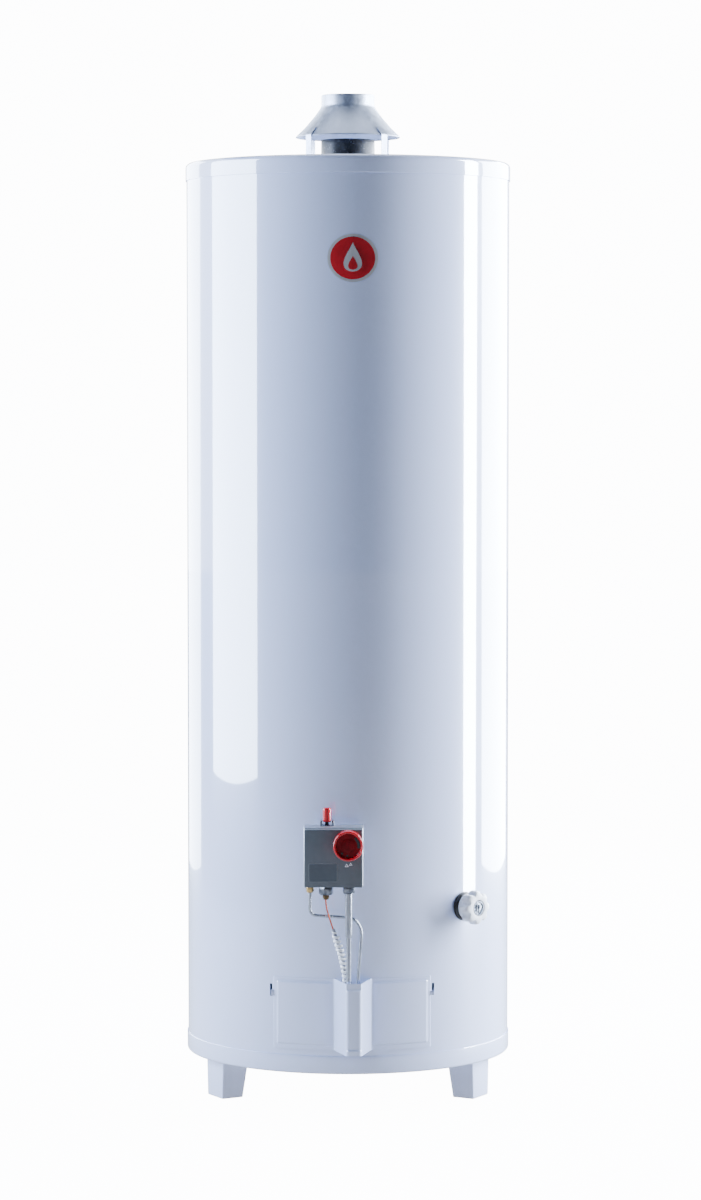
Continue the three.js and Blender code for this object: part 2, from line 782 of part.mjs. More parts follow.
function pilotButton() {
  const bottom = valveTop + gap + bracketSheet + gap + buttonTravel;
  const outline = [
    [0, valveTop - buttonStemDepth],
    [buttonStem, valveTop - buttonStemDepth],
    [buttonStem, bottom],
    [buttonRadius, bottom],
    [buttonRadius, bottom + buttonHeight - 1.5],
    [buttonRadius - 1.5, bottom + buttonHeight],
    [0, bottom + buttonHeight],
  ];
  return meshOf('pilot_button', turned(outline, 24).translate([buttonSide, tubeY, 0]), redPlastic());
}

function buttonBracket() {
  const half = bracketWidth / 2;
  const bottom = valveTop + gap;
  const postWidth = half - buttonRadius - running;
  const depth = bracketDepth / 2;
  const plate = box(-half, half, -depth, depth, bottom, bottom + bracketSheet);
  const left = box(-half, -half + postWidth, -depth, depth, bottom, bottom + bracketHeight);
  const right = box(half - postWidth, half, -depth, depth, bottom, bottom + bracketHeight);
  const hole = disc(buttonStem + running, bottom - 1, bottom + 3, 20);
  const bracket = plate.add(left).add(right).subtract(hole).translate([buttonSide, tubeY, 0]);
  return meshOf('button_bracket', bracket, zinc());
}

// ---------------------------------------------------------------- fittings under the valve

const fittingTop = valveBottom - gap;
const mainNutHeight = 12.5;
const pilotNutHeight = 10.7;
const leadNutHeight = 14;
const leadCollarHeight = 6;

function hexNut(name, side, acrossFlats, bore, height, material) {
  const nut = prism(hexagon(acrossFlats), fittingTop - height, fittingTop)
    .subtract(disc(bore + gap, fittingTop - height - 1, fittingTop + 1, 20));
  return meshOf(name, nut.translate([side, tubeY, 0]), material);
}

function leadCollar() {
  const top = fittingTop - leadNutHeight - gap;
  const collar = ring(leadRadius + gap, 4.5, top - leadCollarHeight, top, 20);
  return meshOf('thermocouple_collar', collar.translate([leadSide, tubeY, 0]), brass());
}

const fittings = [
  hexNut('main_nut', mainSide, 15.5, mainCollarRadius, mainNutHeight, zinc()),
  hexNut('pilot_nut', pilotSide, 9.5, pilotRadius, pilotNutHeight, brass()),
  hexNut('thermocouple_nut', leadSide, 18, leadRadius, leadNutHeight, zinc()),
  leadCollar(),
];

// ---------------------------------------------------------------- tubes and lead

const snoutX = casingRadius * Math.sin(degrees(frontTurn));
const entryZ = doorTop + 2;
const turnZ = doorBottom + 22; // where the tubes bend in to the burner
const burnerFront = -(burnerRadius + 50);
const pilotX = mainSide + 20;
const probeX = pilotX - 14;
const pilotZ = burnerZ + 12;
const tubeStart = fittingTop - 1;
const swage = valveBottom - 73; // where the main tube narrows

function mainBurnerTube() {
  const path = bentPath([
    at(mainSide, tubeY, swage + 4),
    at(mainSide, tubeY, turnZ),
    at(mainSide, burnerFront - 6, turnZ),
  ], 16);
  const lower = tube(path, mainRadius, 18, 8);
  const upper = turned([
    [0, swage],
    [mainRadius, swage],
    [mainCollarRadius, swage + 4],
    [mainCollarRadius, tubeStart],
    [0, tubeStart],
  ], 20);
  const whole = upper.translate([mainSide, tubeY, 0]).add(lower);
  return meshOf('main_burner_tube', whole, aluminium());
}

// The thin tube drops, crosses behind the main tube and goes down into the snout.
function pilotTube() {
  const behind = tubeY + mainCollarRadius + pilotRadius + 2.5;
  const crossing = valveBottom - 44;
  const snoutSide = snoutX + 7;
  const path = bentPath([
    at(pilotSide, tubeY, tubeStart),
    at(pilotSide, tubeY, crossing + 2),
    at(mainSide - 12, behind, crossing - 2),
    at(mainSide + 8, behind, crossing - 4),
    at(mainSide + 18, behind + 1, crossing - 20),
    at(snoutSide, behind + 1, entryZ),
    at(snoutSide, behind + 1, turnZ + 14),
    at(pilotX, burnerFront + 18, turnZ + 14),
    at(pilotX, burnerFront + 18, pilotZ - 8),
  ], 10);
  return meshOf('pilot_tube', tube(path, pilotRadius, 46, 6), aluminium());
}

const leadPoints = [
  at(leadSide, tubeY, tubeStart - leadNutHeight + 2),
  at(leadSide, tubeY, valveBottom - 28),
  at(leadSide + 4, tubeY, valveBottom - 44),
  at(leadSide + 9, tubeY + 1, valveBottom - 60),
  at(leadSide + 17, tubeY + 4, valveBottom - 84),
  at(snoutX - 14, tubeY + 9, entryZ + 28),
  at(snoutX - 9.5, tubeY + 12, entryZ),
  at(snoutX - 9.5, tubeY + 14, turnZ + 36),
  at(snoutX - 8, tubeY + 24, turnZ + 18),
  at(snoutX - 6, tubeY + 50, turnZ + 14),
  at(probeX, burnerFront + 6, turnZ + 16),
  at(probeX, burnerFront + 16, pilotZ - 14.5),
];
const leadPath = new THREE.CatmullRomCurve3(leadPoints, false, 'centripetal');
const sleeveFrom = 0.16;
const sleeveTo = 0.52;

function thermocoupleLead() {
  return meshOf('thermocouple_lead', tube(leadPath, leadRadius, 60, 5), copper());
}

// The spiral-wrapped sleeve over the lead.
function leadSleeve() {
  const count = 16;
  const line = new THREE.CatmullRomCurve3(Array.from({ length: count + 1 }, (_, i) => {
    return leadPath.getPointAt(sleeveFrom + ((sleeveTo - sleeveFrom) * i) / count);
  }), false, 'centripetal');
  const bore = tube(line, leadRadius + 3 * gap, 20, 6);
  return meshOf('lead_sleeve', tube(line, sleeveRadius, 20, 8).subtract(bore), braid());
}

// ---------------------------------------------------------------- burner

function burner() {
  const edge = 10;
  const head = turned([
    [0, burnerZ - edge],
    [18, burnerZ - edge],
    [burnerRadius - 10, burnerZ - 4],
    [burnerRadius, burnerZ - 2],
    [burnerRadius, burnerZ + 4],
    [burnerRadius - 12, burnerZ + edge],
    [22, burnerZ + edge - 2],
    [0, burnerZ + edge - 2],
  ], inside);
  const mixer = facingFront(disc(11, 0, burnerRadius + 28, 24)).translate([mainSide, 0, turnZ]);
  const riser = disc(13, turnZ - 11, burnerZ, 24).translate([mainSide, 0, 0]);
  const throat = facingFront(disc(8, 20, burnerRadius + 40, 24)).translate([mainSide, 0, turnZ]);
  return meshOf('burner', head.add(mixer).add(riser).subtract(throat), steel());
}

function burnerNozzle() {
  const nozzle = facingFront(turned([
    [2, burnerRadius + 34],
    [4, burnerRadius + 34],
    [6.5, burnerRadius + 40],
    [6.5, burnerRadius + 56 - gap],
    [mainRadius + 1.4, burnerRadius + 66],
    [mainRadius + gap, burnerRadius + 66],
    [mainRadius + gap, burnerRadius + 50],
    [2, burnerRadius + 50],
  ], 24));
  return meshOf('burner_nozzle', nozzle.translate([mainSide, 0, turnZ]), brass());
}

// A strap on the pan's floor that cradles the mixing pipe.
function burnerBracket() {
  const half = 18;
  const y0 = -burnerRadius - 20;
  const y1 = y0 + 26;
  const cradle = facingFront(disc(11 + gap, -y1 - 5, -y0 + 5, 24)).translate([0, 0, turnZ]);
  const foot_ = box(-34, 34, y0 - 36, y1, floorTop + gap, floorTop + gap + 1.5);
  const post = box(-half, half, y0, y1, floorTop + gap, turnZ + 2);
  const space = box(-half + 1.5, half - 1.5, y0 - 1, y1 + 1, floorTop + gap + 1.5, turnZ - 14);
  const strap = foot_.add(post).subtract(space).subtract(cradle);
  return meshOf('burner_bracket', strap.translate([mainSide, 0, 0]), zinc());
}

function pilotBurner() {
  const base = pilotZ - 8 + gap;
  const burnerCup = turned([
    [0, base],
    [5, base],
    [5, base + 12],
    [4, base + 14],
    [4, base + 20],
    [2.6, base + 20],
    [2.6, base + 10],
    [0, base + 10],
  ], 20);
  return meshOf('pilot_burner', burnerCup.translate([pilotX, burnerFront + 18, 0]), steel());
}

function thermocoupleTip() {
  const base = pilotZ - 14 + gap;
  const tip = turned([
    [0, base],
    [3.2, base],
    [3.2, base + 8],
    [2.4, base + 10],
    [2.4, base + 28],
    [1.2, base + 31],
    [0, base + 31],
  ], 16);
  return meshOf('thermocouple_tip', tip.translate([probeX, burnerFront + 16, 0]), copper());
}

// A raised plate over the air hole that keeps the burner's heat off the floor.
function heatShield() {
  const outer = airHoleRadius + 26;
  const plateZ = floorTop + 16;
  const plate = disc(airHoleRadius - 20, plateZ, plateZ + 1.2, 48);
  const leg = box(-9, 9, 0, 1.5, floorTop + gap, plateZ + 1)
    .add(box(-9, 9, 0, 14, floorTop + gap, floorTop + gap + 1.5))
    .translate([0, outer - 22, 0])
    .add(box(-9, 9, airHoleRadius - 30, outer - 20.5, plateZ, plateZ + 1.2));
  const legs = [40, 140, 220, 320].map((angle) => leg.rotate([0, 0, angle]));
  const shield = legs.reduce((body, part) => body.add(part), plate);
  const bracketWay = box(-20, 20, -airHoleRadius, -burnerRadius + 8, plateZ - 1, plateZ + 3);
  return meshOf('heat_shield', shield.subtract(bracketWay.translate([mainSide, 0, 0])), zinc());
}

// ---------------------------------------------------------------- drain valve

const drainBore = 5.2;
const drainBarrel = 8;
const drainPlug = 10.3;
const wheelBack = casingRadius + wheelReach - wheelDepth;
const wheelFront = casingRadius + wheelReach;

function drainValveBody() {
  const collar = casingRadius + 4;
  const outline = [
    [drainBore, tankRadius - 8],
    [drainPort - gap, tankRadius - 8],
    [drainPort - gap, casingRadius - 0.4],
    [19, casingRadius - 0.4],
    [19, collar + 1],
    [15, collar + 4],
    [drainBarrel, collar + 4],
    [drainBarrel, wheelFront - 6],
    [drainBore, wheelFront - 6],
  ];
  return meshOf('drain_valve_body', facingFront(turned(outline)).translate([0, 0, drainZ]), whitePlastic());
}

// Lobed handwheel: scallops are cut from a round rim.
function drainHandwheel() {
  const rim = turned([
    [drainBarrel + running, wheelBack],
    [wheelRadius - 2, wheelBack],
    [wheelRadius, wheelBack + 2],
    [wheelRadius, wheelFront - 4],
    [wheelRadius - 2.5, wheelFront - 1],
    [drainPlug + 3, wheelFront],
    [drainPlug + running, wheelFront],
    [drainPlug + running, wheelFront - 4],
    [drainBarrel + running, wheelFront - 4],
  ], 32);
  const scallop = disc(4.2, wheelBack - 1, wheelFront + 1, 10);
  const cut = Array.from({ length: wheelLobes }, (_, i) => {
    const angle = (2 * Math.PI * (i + 0.5)) / wheelLobes;
    const reach = wheelRadius + 1.6;
    return scallop.translate([reach * Math.cos(angle), reach * Math.sin(angle), 0]);
  });
  const wheel = cut.reduce((body, part) => body.subtract(part), rim);
  return meshOf('drain_handwheel', facingFront(wheel).translate([0, 0, drainZ]), whitePlastic());
}

// The slotted plug that the wheel draws off its seat.
function drainStem() {
  const stem = turned([
    [0, tankRadius - 4],
    [drainBore - running, tankRadius - 4],
    [drainBore - running, wheelFront - 3.5],
    [drainPlug, wheelFront - 3.5],
    [drainPlug, wheelFront - 0.6],
    [drainPlug - 0.6, wheelFront],
    [0, wheelFront],
  ], 28);
  const slot = box(-1.2, 1.2, -6, 6, wheelFront - 1.6, wheelFront + 1);
  return meshOf('drain_stem', facingFront(stem.subtract(slot)).translate([0, 0, drainZ]), aluminium());
}

// ---------------------------------------------------------------- the whole heater

const heater = new THREE.Group();
heater.position.y = frameShift;
heater.add(
  baseRing(),
  ...feet,
  tank(),
  topSocket('cold'),
  topSocket('hot'),
  topSocket('anode'),
  sideSocket('drain_socket', drainPort, drainAngle, drainZ),
  sideSocket('thermostat_socket', valvePort, 0, valveZ),
  flueTube(),
  flueBaffle(),
  jacket(),
  topCover(),
  sideInsulation(),
  topInsulation(),
  nipple('cold'),
  nipple('hot'),
  nippleCollar('cold', bluePlastic()),
  nippleCollar('hot', redPlastic()),
  dipTube(),
  anodeRod(),
  draughtHood(),
  ...legAngles.map((angle, index) => turnedBy(angle, hoodLeg(index))),
  turnedBy(frontTurn, accessDoor(), innerDoor(), badge()),
  valveBody(),
  valveCover(),
  thermostatProbe(),
  temperatureKnob(),
  pilotButton(),
  buttonBracket(),
  ...fittings,
  mainBurnerTube(),
  pilotTube(),
  thermocoupleLead(),
  leadSleeve(),
  burner(),
  burnerNozzle(),
  burnerBracket(),
  pilotBurner(),
  thermocoupleTip(),
  heatShield(),
  turnedBy(drainAngle, drainValveBody(), drainHandwheel(), drainStem()),
);

const waterHeater = new THREE.Group();
waterHeater.add(heater);

export default waterHeater;
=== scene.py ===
# %% [markdown]
# A gas-fired tank water heater, dressed for its portrait.
# The sizes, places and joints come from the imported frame; this script gives every visible part its fine
# surface. Each new piece stands for one or more plain CAD nodes and rides on the same body, so it moves
# with the knob, the button, the door or the drain wheel.

# %% Load the frame
import json
import math
import random

import bmesh
import bpy
from mathutils import Matrix, Vector


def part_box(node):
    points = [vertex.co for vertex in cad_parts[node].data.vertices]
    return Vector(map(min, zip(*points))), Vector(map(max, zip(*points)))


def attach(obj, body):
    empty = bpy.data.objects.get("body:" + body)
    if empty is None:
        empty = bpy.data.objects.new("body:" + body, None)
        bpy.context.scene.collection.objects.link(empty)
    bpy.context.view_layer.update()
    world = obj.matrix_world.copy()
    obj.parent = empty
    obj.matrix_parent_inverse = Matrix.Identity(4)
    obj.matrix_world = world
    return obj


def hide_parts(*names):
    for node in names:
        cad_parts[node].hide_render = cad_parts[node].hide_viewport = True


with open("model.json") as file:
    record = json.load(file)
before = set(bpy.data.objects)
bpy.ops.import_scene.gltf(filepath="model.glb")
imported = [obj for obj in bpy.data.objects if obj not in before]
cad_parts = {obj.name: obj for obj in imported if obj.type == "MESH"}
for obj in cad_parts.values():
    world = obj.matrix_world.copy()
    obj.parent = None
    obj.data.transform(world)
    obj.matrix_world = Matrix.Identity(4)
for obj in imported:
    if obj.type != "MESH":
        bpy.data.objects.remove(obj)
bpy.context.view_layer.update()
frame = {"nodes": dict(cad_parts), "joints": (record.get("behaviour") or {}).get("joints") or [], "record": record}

nodes = frame["nodes"]
print("nodes in the frame:", len(nodes))

# %% [markdown]
# Everything is placed from a few facts of the frame: where the tank's axis stands, how wide the casing is,
# how far the front of the casing is turned from the front of the tank, and the heights of the seams.

# %% Places taken from the frame
MM = 0.001
ring_low, ring_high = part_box("base_ring")
cover_low, cover_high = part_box("top_cover")
jacket_low, jacket_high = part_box("jacket")
AXIS = Vector(((ring_low.x + ring_high.x) / 2, (ring_low.y + ring_high.y) / 2, 0))
CASING_R = (ring_high.x - ring_low.x) / 2
JACKET_R = (jacket_high.x - jacket_low.x) / 2
DOOR_SLIDE = next(j for j in frame["joints"] if j["child"] == "access_door")
DRAIN_SLIDE = next(j for j in frame["joints"] if j["child"] == "drain_stem")
FRONT_TURN = math.atan2(DOOR_SLIDE["axis"][0], -DOOR_SLIDE["axis"][1])
DRAIN_TURN = math.atan2(DRAIN_SLIDE["axis"][0], -DRAIN_SLIDE["axis"][1])
print(f"axis at y {AXIS.y:.4f}, casing radius {CASING_R:.4f},",
      f"front turned {math.degrees(FRONT_TURN):.2f} deg")

# %% [markdown]
# The camera comes first, because it decides how fine each piece has to be. A long lens from five metres
# keeps the tall cylinder nearly parallel. It stands at about chest height and looks slightly down, so the
# rim of the base curves down and the rim of the cover hides its own flat top.

# %% Camera
CAMERA_DISTANCE = 5.2
CAMERA_HEIGHT = 0.978
CAMERA_DOWN = math.radians(3.12)
camera_data = bpy.data.cameras.new("portrait_camera")
camera_data.lens = 109.5
camera_data.sensor_width = 36
camera = bpy.data.objects.new("portrait_camera", camera_data)
bpy.context.scene.collection.objects.link(camera)
camera.location = (AXIS.x + 3.7 * MM, AXIS.y - CAMERA_DISTANCE, CAMERA_HEIGHT)
camera.rotation_euler = (math.pi / 2 - CAMERA_DOWN, 0, 0)
bpy.context.scene.camera = camera
print("camera at", tuple(round(v, 3) for v in camera.location))

# %% [markdown]
# Glossy white enamel is mostly described by what it reflects. Two tall soft boxes give the crisp bright
# band on the left and the thin one on the right, a dim blue room gives the cool grey core between them,
# and a pale backdrop behind the heater keeps the picture white. The lights are ordinary area lights.

# %% Lights and backdrop
def area_light(name, place, target, size, power, colour=(1, 1, 1)):
    data = bpy.data.lights.new(name, "AREA")
    data.shape = "RECTANGLE"
    data.size, data.size_y = size
    data.energy = power
    data.color = colour
    light = bpy.data.objects.new(name, data)
    bpy.context.scene.collection.objects.link(light)
    light.location = place
    light.rotation_euler = (Vector(target) - Vector(place)).to_track_quat("-Z", "Y").to_euler()
    return light


def around_axis(distance, degrees_right, height):
    turn = math.radians(degrees_right)
    return (AXIS.x + distance * math.sin(turn), AXIS.y - distance * math.cos(turn), height)


MIDDLE = (AXIS.x, AXIS.y, 0.8)
LEFT_HEIGHT = 1.32
area_light("left_box", around_axis(2.2, -86, LEFT_HEIGHT), (AXIS.x, AXIS.y, LEFT_HEIGHT), (1.75, 2.17), 255,
           (0.66, 0.79, 1))
area_light("right_strip", around_axis(2.2, 93, 1.1), MIDDLE, (0.52, 2.4), 290, (0.78, 0.87, 1))
area_light("right_back", around_axis(2.4, 130, 1.1), MIDDLE, (2.1, 2.4), 520, (0.78, 0.87, 1))
area_light("left_back", around_axis(2.4, -142, 1.1), MIDDLE, (1.4, 2.4), 130, (0.76, 0.86, 1))
area_light("overhead", (AXIS.x, AXIS.y + 0.5, 3.4), MIDDLE, (2.2, 1.6), 28, (0.84, 0.90, 1))

world = bpy.data.worlds.new("dim_blue_room")
bpy.context.scene.world = world
world.use_nodes = True
world.node_tree.nodes["Background"].inputs["Color"].default_value = (0.36, 0.46, 0.95, 1)
world.node_tree.nodes["Background"].inputs["Strength"].default_value = 0.022

# %% [markdown]
# The stage is a pale round floor with a wall all the way round it, so the background is white from every
# side. Both glow by themselves: strongly toward the camera and only gently toward everything else. The
# wall glows more behind the heater than in front of it, which whitens the casing's far edges and leaves
# its middle dark. The floor glows most near the feet, so the casing grows lighter towards the ground.

# %% Floor and surrounding wall
STAGE_R = 16
WALL_HEIGHT = 14
SEEN_GLOW = 14


def stage_surface(name, bm, measure, first, last, glow):
    """A glowing surface; the glow runs between two strengths as the measured distance goes first to last."""
    mesh = bpy.data.meshes.new(name)
    bm.to_mesh(mesh)
    bm.free()
    mesh.shade_smooth()
    surface = bpy.data.objects.new(name, mesh)
    bpy.context.scene.collection.objects.link(surface)
    material = bpy.data.materials.new(name)
    material.use_nodes = True
    tree = material.node_tree
    shader = tree.nodes["Principled BSDF"]
    shader.inputs["Base Color"].default_value = (0.09, 0.10, 0.12, 1)
    shader.inputs["Roughness"].default_value = 0.9
    shader.inputs["Specular IOR Level"].default_value = 0.1
    shader.inputs["Emission Color"].default_value = (0.97, 0.98, 1, 1)
    place = tree.nodes.new("ShaderNodeTexCoord")
    split = tree.nodes.new("ShaderNodeSeparateXYZ")
    tree.links.new(place.outputs["Object"], split.inputs["Vector"])
    depth = tree.nodes.new("ShaderNodeMapRange")
    depth.interpolation_type = "SMOOTHSTEP"
    for label, value in (("From Min", first), ("From Max", last), ("To Min", glow[0]), ("To Max", glow[1])):
        depth.inputs[label].default_value = value
    if measure == "depth":
        tree.links.new(split.outputs["Y"], depth.inputs["Value"])
    else:
        away = tree.nodes.new("ShaderNodeVectorMath")
        away.operation = "LENGTH"
        tree.links.new(place.outputs["Object"], away.inputs[0])
        tree.links.new(away.outputs["Value"], depth.inputs["Value"])
    ray = tree.nodes.new("ShaderNodeLightPath")
    strength = tree.nodes.new("ShaderNodeMapRange")
    strength.inputs["To Max"].default_value = SEEN_GLOW
    tree.links.new(depth.outputs["Result"], strength.inputs["To Min"])
    tree.links.new(ray.outputs["Is Camera Ray"], strength.inputs["Value"])
    tree.links.new(strength.outputs["Result"], shader.inputs["Emission Strength"])
    mesh.materials.append(material)
    return surface


floor_bm = bmesh.new()
bmesh.ops.create_circle(floor_bm, cap_ends=True, radius=STAGE_R, segments=96)
stage_surface("floor", floor_bm, "distance", 1, 8, (0.72, 0.25))

wall_bm = bmesh.new()
base = bmesh.ops.create_circle(wall_bm, cap_ends=False, radius=STAGE_R, segments=96)
lifted = bmesh.ops.extrude_edge_only(wall_bm, edges=list({e for v in base["verts"] for e in v.link_edges}))
top_verts = [v for v in lifted["geom"] if isinstance(v, bmesh.types.BMVert)]
bmesh.ops.translate(wall_bm, vec=(0, 0, WALL_HEIGHT), verts=top_verts)
stage_surface("wall", wall_bm, "depth", -3, 9, (0.01, 2.2))
print(f"stage: {STAGE_R} m to the wall, which is {WALL_HEIGHT} m high")

# %% [markdown]
# Shared surface effects are node groups with named inputs, so that each finish places them with its own
# values. `mottle` is a soft cloudiness for colour and roughness, `grain` is a fine tooth for the bump, and
# `scratches` is a set of long thin marks that run along one axis.

# %% Shared node groups
def effect_group(name, inputs, outputs):
    group = bpy.data.node_groups.new(name, "ShaderNodeTree")
    for label, value in inputs:
        socket = group.interface.new_socket(label, in_out="INPUT", socket_type="NodeSocketFloat")
        socket.default_value = value
    for label in outputs:
        group.interface.new_socket(label, in_out="OUTPUT", socket_type="NodeSocketFloat")
    entry = group.nodes.new("NodeGroupInput")
    leave = group.nodes.new("NodeGroupOutput")
    return group, entry, leave


def add(tree, kind, settings=None, **links):
    """Adds a node, sets its properties and links or fills its inputs by name."""
    node = tree.nodes.new("ShaderNode" + kind)
    for label, value in (settings or {}).items():
        setattr(node, label, value)
    for label, source in links.items():
        socket = node.inputs[int(label[1:])] if label[1:].isdigit() else node.inputs[label.replace("_", " ")]
        if isinstance(source, bpy.types.NodeSocket):
            tree.links.new(source, socket)
        else:
            socket.default_value = source
    return node


def build_mottle():
    group, entry, leave = effect_group("mottle", [("Scale", 12)], ["Mask"])
    place = add(group, "TexCoord")
    cloud = add(group, "TexNoise", Vector=place.outputs["Object"], Scale=entry.outputs["Scale"], Detail=4.0)
    spread = add(group, "MapRange", Value=cloud.outputs["Fac"], From_Min=0.32, From_Max=0.68)
    group.links.new(spread.outputs["Result"], leave.inputs["Mask"])
    return group


def build_grain():
    group, entry, leave = effect_group("grain", [("Scale", 900)], ["Height"])
    place = add(group, "TexCoord")
    tooth = add(group, "TexNoise", Vector=place.outputs["Object"], Scale=entry.outputs["Scale"], Detail=3.0)
    group.links.new(tooth.outputs["Fac"], leave.inputs["Height"])
    return group


def build_scratches():
    group, entry, leave = effect_group("scratches", [("Across", 700), ("Along", 14)], ["Mask"])
    place = add(group, "TexCoord")
    stretch = add(group, "CombineXYZ", X=entry.outputs["Across"], Y=entry.outputs["Across"],
                  Z=entry.outputs["Along"])
    scaled = add(group, "VectorMath", {"operation": "MULTIPLY"}, _0=place.outputs["Object"],
                 _1=stretch.outputs["Vector"])
    lines = add(group, "TexNoise", Vector=scaled.outputs["Vector"], Scale=1.0, Detail=2.0)
    thin = add(group, "MapRange", Value=lines.outputs["Fac"], From_Min=0.42, From_Max=0.62)
    group.links.new(thin.outputs["Result"], leave.inputs["Mask"])
    return group


MOTTLE, GRAIN, SCRATCHES = build_mottle(), build_grain(), build_scratches()
print("shared groups:", MOTTLE.name, GRAIN.name, SCRATCHES.name)

# %% [markdown]
# A finish starts from the same recipe: two close colours mixed by a mask, a roughness that follows the
# mask, and a fine bump. What is the same all over the surface, such as metal or coat, is set on the
# Principled shader itself.

# %% The finish recipe
def effect(tree, group, **values):
    node = tree.nodes.new("ShaderNodeGroup")
    node.node_tree = group
    for label, value in values.items():
        node.inputs[label].default_value = value
    return node


def shader_of(material):
    return material.node_tree.nodes["Principled BSDF"]


def mixed(tree, mask, first, second):
    node = tree.nodes.new("ShaderNodeMix")
    node.data_type = "RGBA"
    tree.links.new(mask, node.inputs["Factor"])
    for socket, colour in ((node.inputs[6], first), (node.inputs[7], second)):
        if isinstance(colour, bpy.types.NodeSocket):
            tree.links.new(colour, socket)
        else:
            socket.default_value = (*colour, 1)
    return node.outputs[2]


def spread(tree, mask, low, high):
    return add(tree, "MapRange", Value=mask, To_Min=low, To_Max=high).outputs["Result"]


def bumped(tree, height, strength, distance):
    bump = add(tree, "Bump", Height=height)
    bump.inputs["Strength"].default_value = strength
    bump.inputs["Distance"].default_value = distance
    return bump.outputs["Normal"]


def make_finish(name, light, dark, rough, metal=0.0, coat=0.0, cloud=14, tooth=900, depth=0.02):
    material = bpy.data.materials.new(name)
    material.use_nodes = True
    tree, shader = material.node_tree, shader_of(material)
    mask = effect(tree, MOTTLE, Scale=cloud).outputs["Mask"]
    height = effect(tree, GRAIN, Scale=tooth).outputs["Height"]
    tree.links.new(mixed(tree, mask, light, dark), shader.inputs["Base Color"])
    tree.links.new(spread(tree, mask, *rough), shader.inputs["Roughness"])
    tree.links.new(bumped(tree, height, 1.0, depth * MM), shader.inputs["Normal"])
    shader.inputs["Metallic"].default_value = metal
    shader.inputs["Coat Weight"].default_value = coat
    shader.inputs["Coat Roughness"].default_value = 0.04
    return material


def add_scratches(material, colour, across=700, along=14, lift=0.12):
    """Long drawn marks: they tint the base colour and open up the roughness."""
    tree, shader = material.node_tree, shader_of(material)
    marks = effect(tree, SCRATCHES, Across=across, Along=along).outputs["Mask"]
    base = shader.inputs["Base Color"].links[0].from_socket
    tree.links.new(mixed(tree, marks, base, colour), shader.inputs["Base Color"])
    rough = shader.inputs["Roughness"].links[0].from_socket
    total = add(tree, "Math", {"operation": "MULTIPLY_ADD"}, _0=marks, _1=lift, _2=rough)
    tree.links.new(total.outputs["Value"], shader.inputs["Roughness"])
    return material

# %% [markdown]
# The casing is sheet steel with fired or baked white enamel: a smooth white coat that pulls into the faintest
# orange peel, so its reflections are crisp but never quite straight. The coat mirrors strongly, as fired glass
# does. Its base colour is a cool blue-grey rather than white: the blue cast of the room's light is painted into
# the enamel's colour.

# %% Enamel finishes
GLAZE_IOR = 2.3
# painted light: the blue-grey base colour carries the blue cast of the room's light on top of the enamel's white
enamel = make_finish("white_enamel", (0.62, 0.70, 0.97), (0.59, 0.675, 0.96), (0.16, 0.22), coat=1.0,
                     cloud=5, tooth=260, depth=0.010)
shader_of(enamel).inputs["Coat Roughness"].default_value = 0.025
shader_of(enamel).inputs["Coat IOR"].default_value = GLAZE_IOR
white_plastic = make_finish("white_moulded", (0.88, 0.90, 0.94), (0.84, 0.86, 0.91), (0.26, 0.38),
                            cloud=60, tooth=1800, depth=0.02)
print("enamel and moulded white ready")

# %% [markdown]
# Zinc coating shows flat crystals, a few millimetres across, that each catch the light differently. A
# Voronoi cell pattern gives every crystal its own shade and roughness.

# %% Zinc-coated sheet
def make_galvanised(name, crystal):
    material = make_finish(name, (0.56, 0.63, 0.78), (0.47, 0.53, 0.68), (0.24, 0.38), metal=0.85,
                           cloud=40, tooth=1500, depth=0.012)
    tree, shader = material.node_tree, shader_of(material)
    place = add(tree, "TexCoord")
    cells = add(tree, "TexVoronoi", Vector=place.outputs["Object"], Scale=crystal)
    shade = add(tree, "SeparateColor", Color=cells.outputs["Color"]).outputs["Red"]
    base = shader.inputs["Base Color"].links[0].from_socket
    weak = spread(tree, shade, 0.0, 0.3)
    tree.links.new(mixed(tree, weak, base, (0.70, 0.77, 0.90)), shader.inputs["Base Color"])
    tree.links.new(spread(tree, shade, 0.36, 0.48), shader.inputs["Roughness"])
    return material


galvanised = make_galvanised("zinc_coated_sheet", 170)
zinc_plate = make_finish("zinc_plated_nut", (0.24, 0.26, 0.30), (0.07, 0.08, 0.10), (0.12, 0.24), metal=1.0,
                         cloud=160, tooth=2600, depth=0.01)
print("zinc finishes ready:", galvanised.name, zinc_plate.name)

# %% [markdown]
# The flue tube is black pipe with scale and pale flecks where the scale has chipped. The flecks come from
# a thresholded noise, so they are sharp-edged and random.

# %% Scaled black steel
def make_scaled_steel():
    material = make_finish("scaled_black_steel", (0.020, 0.021, 0.026), (0.055, 0.058, 0.066), (0.38, 0.6),
                           metal=0.6, cloud=60, tooth=700, depth=0.12)
    tree, shader = material.node_tree, shader_of(material)
    place = add(tree, "TexCoord")
    flecks = add(tree, "TexNoise", Vector=place.outputs["Object"], Scale=420.0, Detail=5.0, Roughness=0.7)
    chips = add(tree, "MapRange", Value=flecks.outputs["Fac"], From_Min=0.62, From_Max=0.70)
    base = shader.inputs["Base Color"].links[0].from_socket
    flecked = mixed(tree, chips.outputs["Result"], base, (0.42, 0.45, 0.52))
    tree.links.new(flecked, shader.inputs["Base Color"])
    return material


scaled_steel = make_scaled_steel()
print("steel finish ready:", scaled_steel.name)

# %% [markdown]
# The valve has a satin grey painted cover over a cast aluminium body. Its knob and button are glossy red
# plastic. Tubes are drawn aluminium, which carries faint marks along its length.

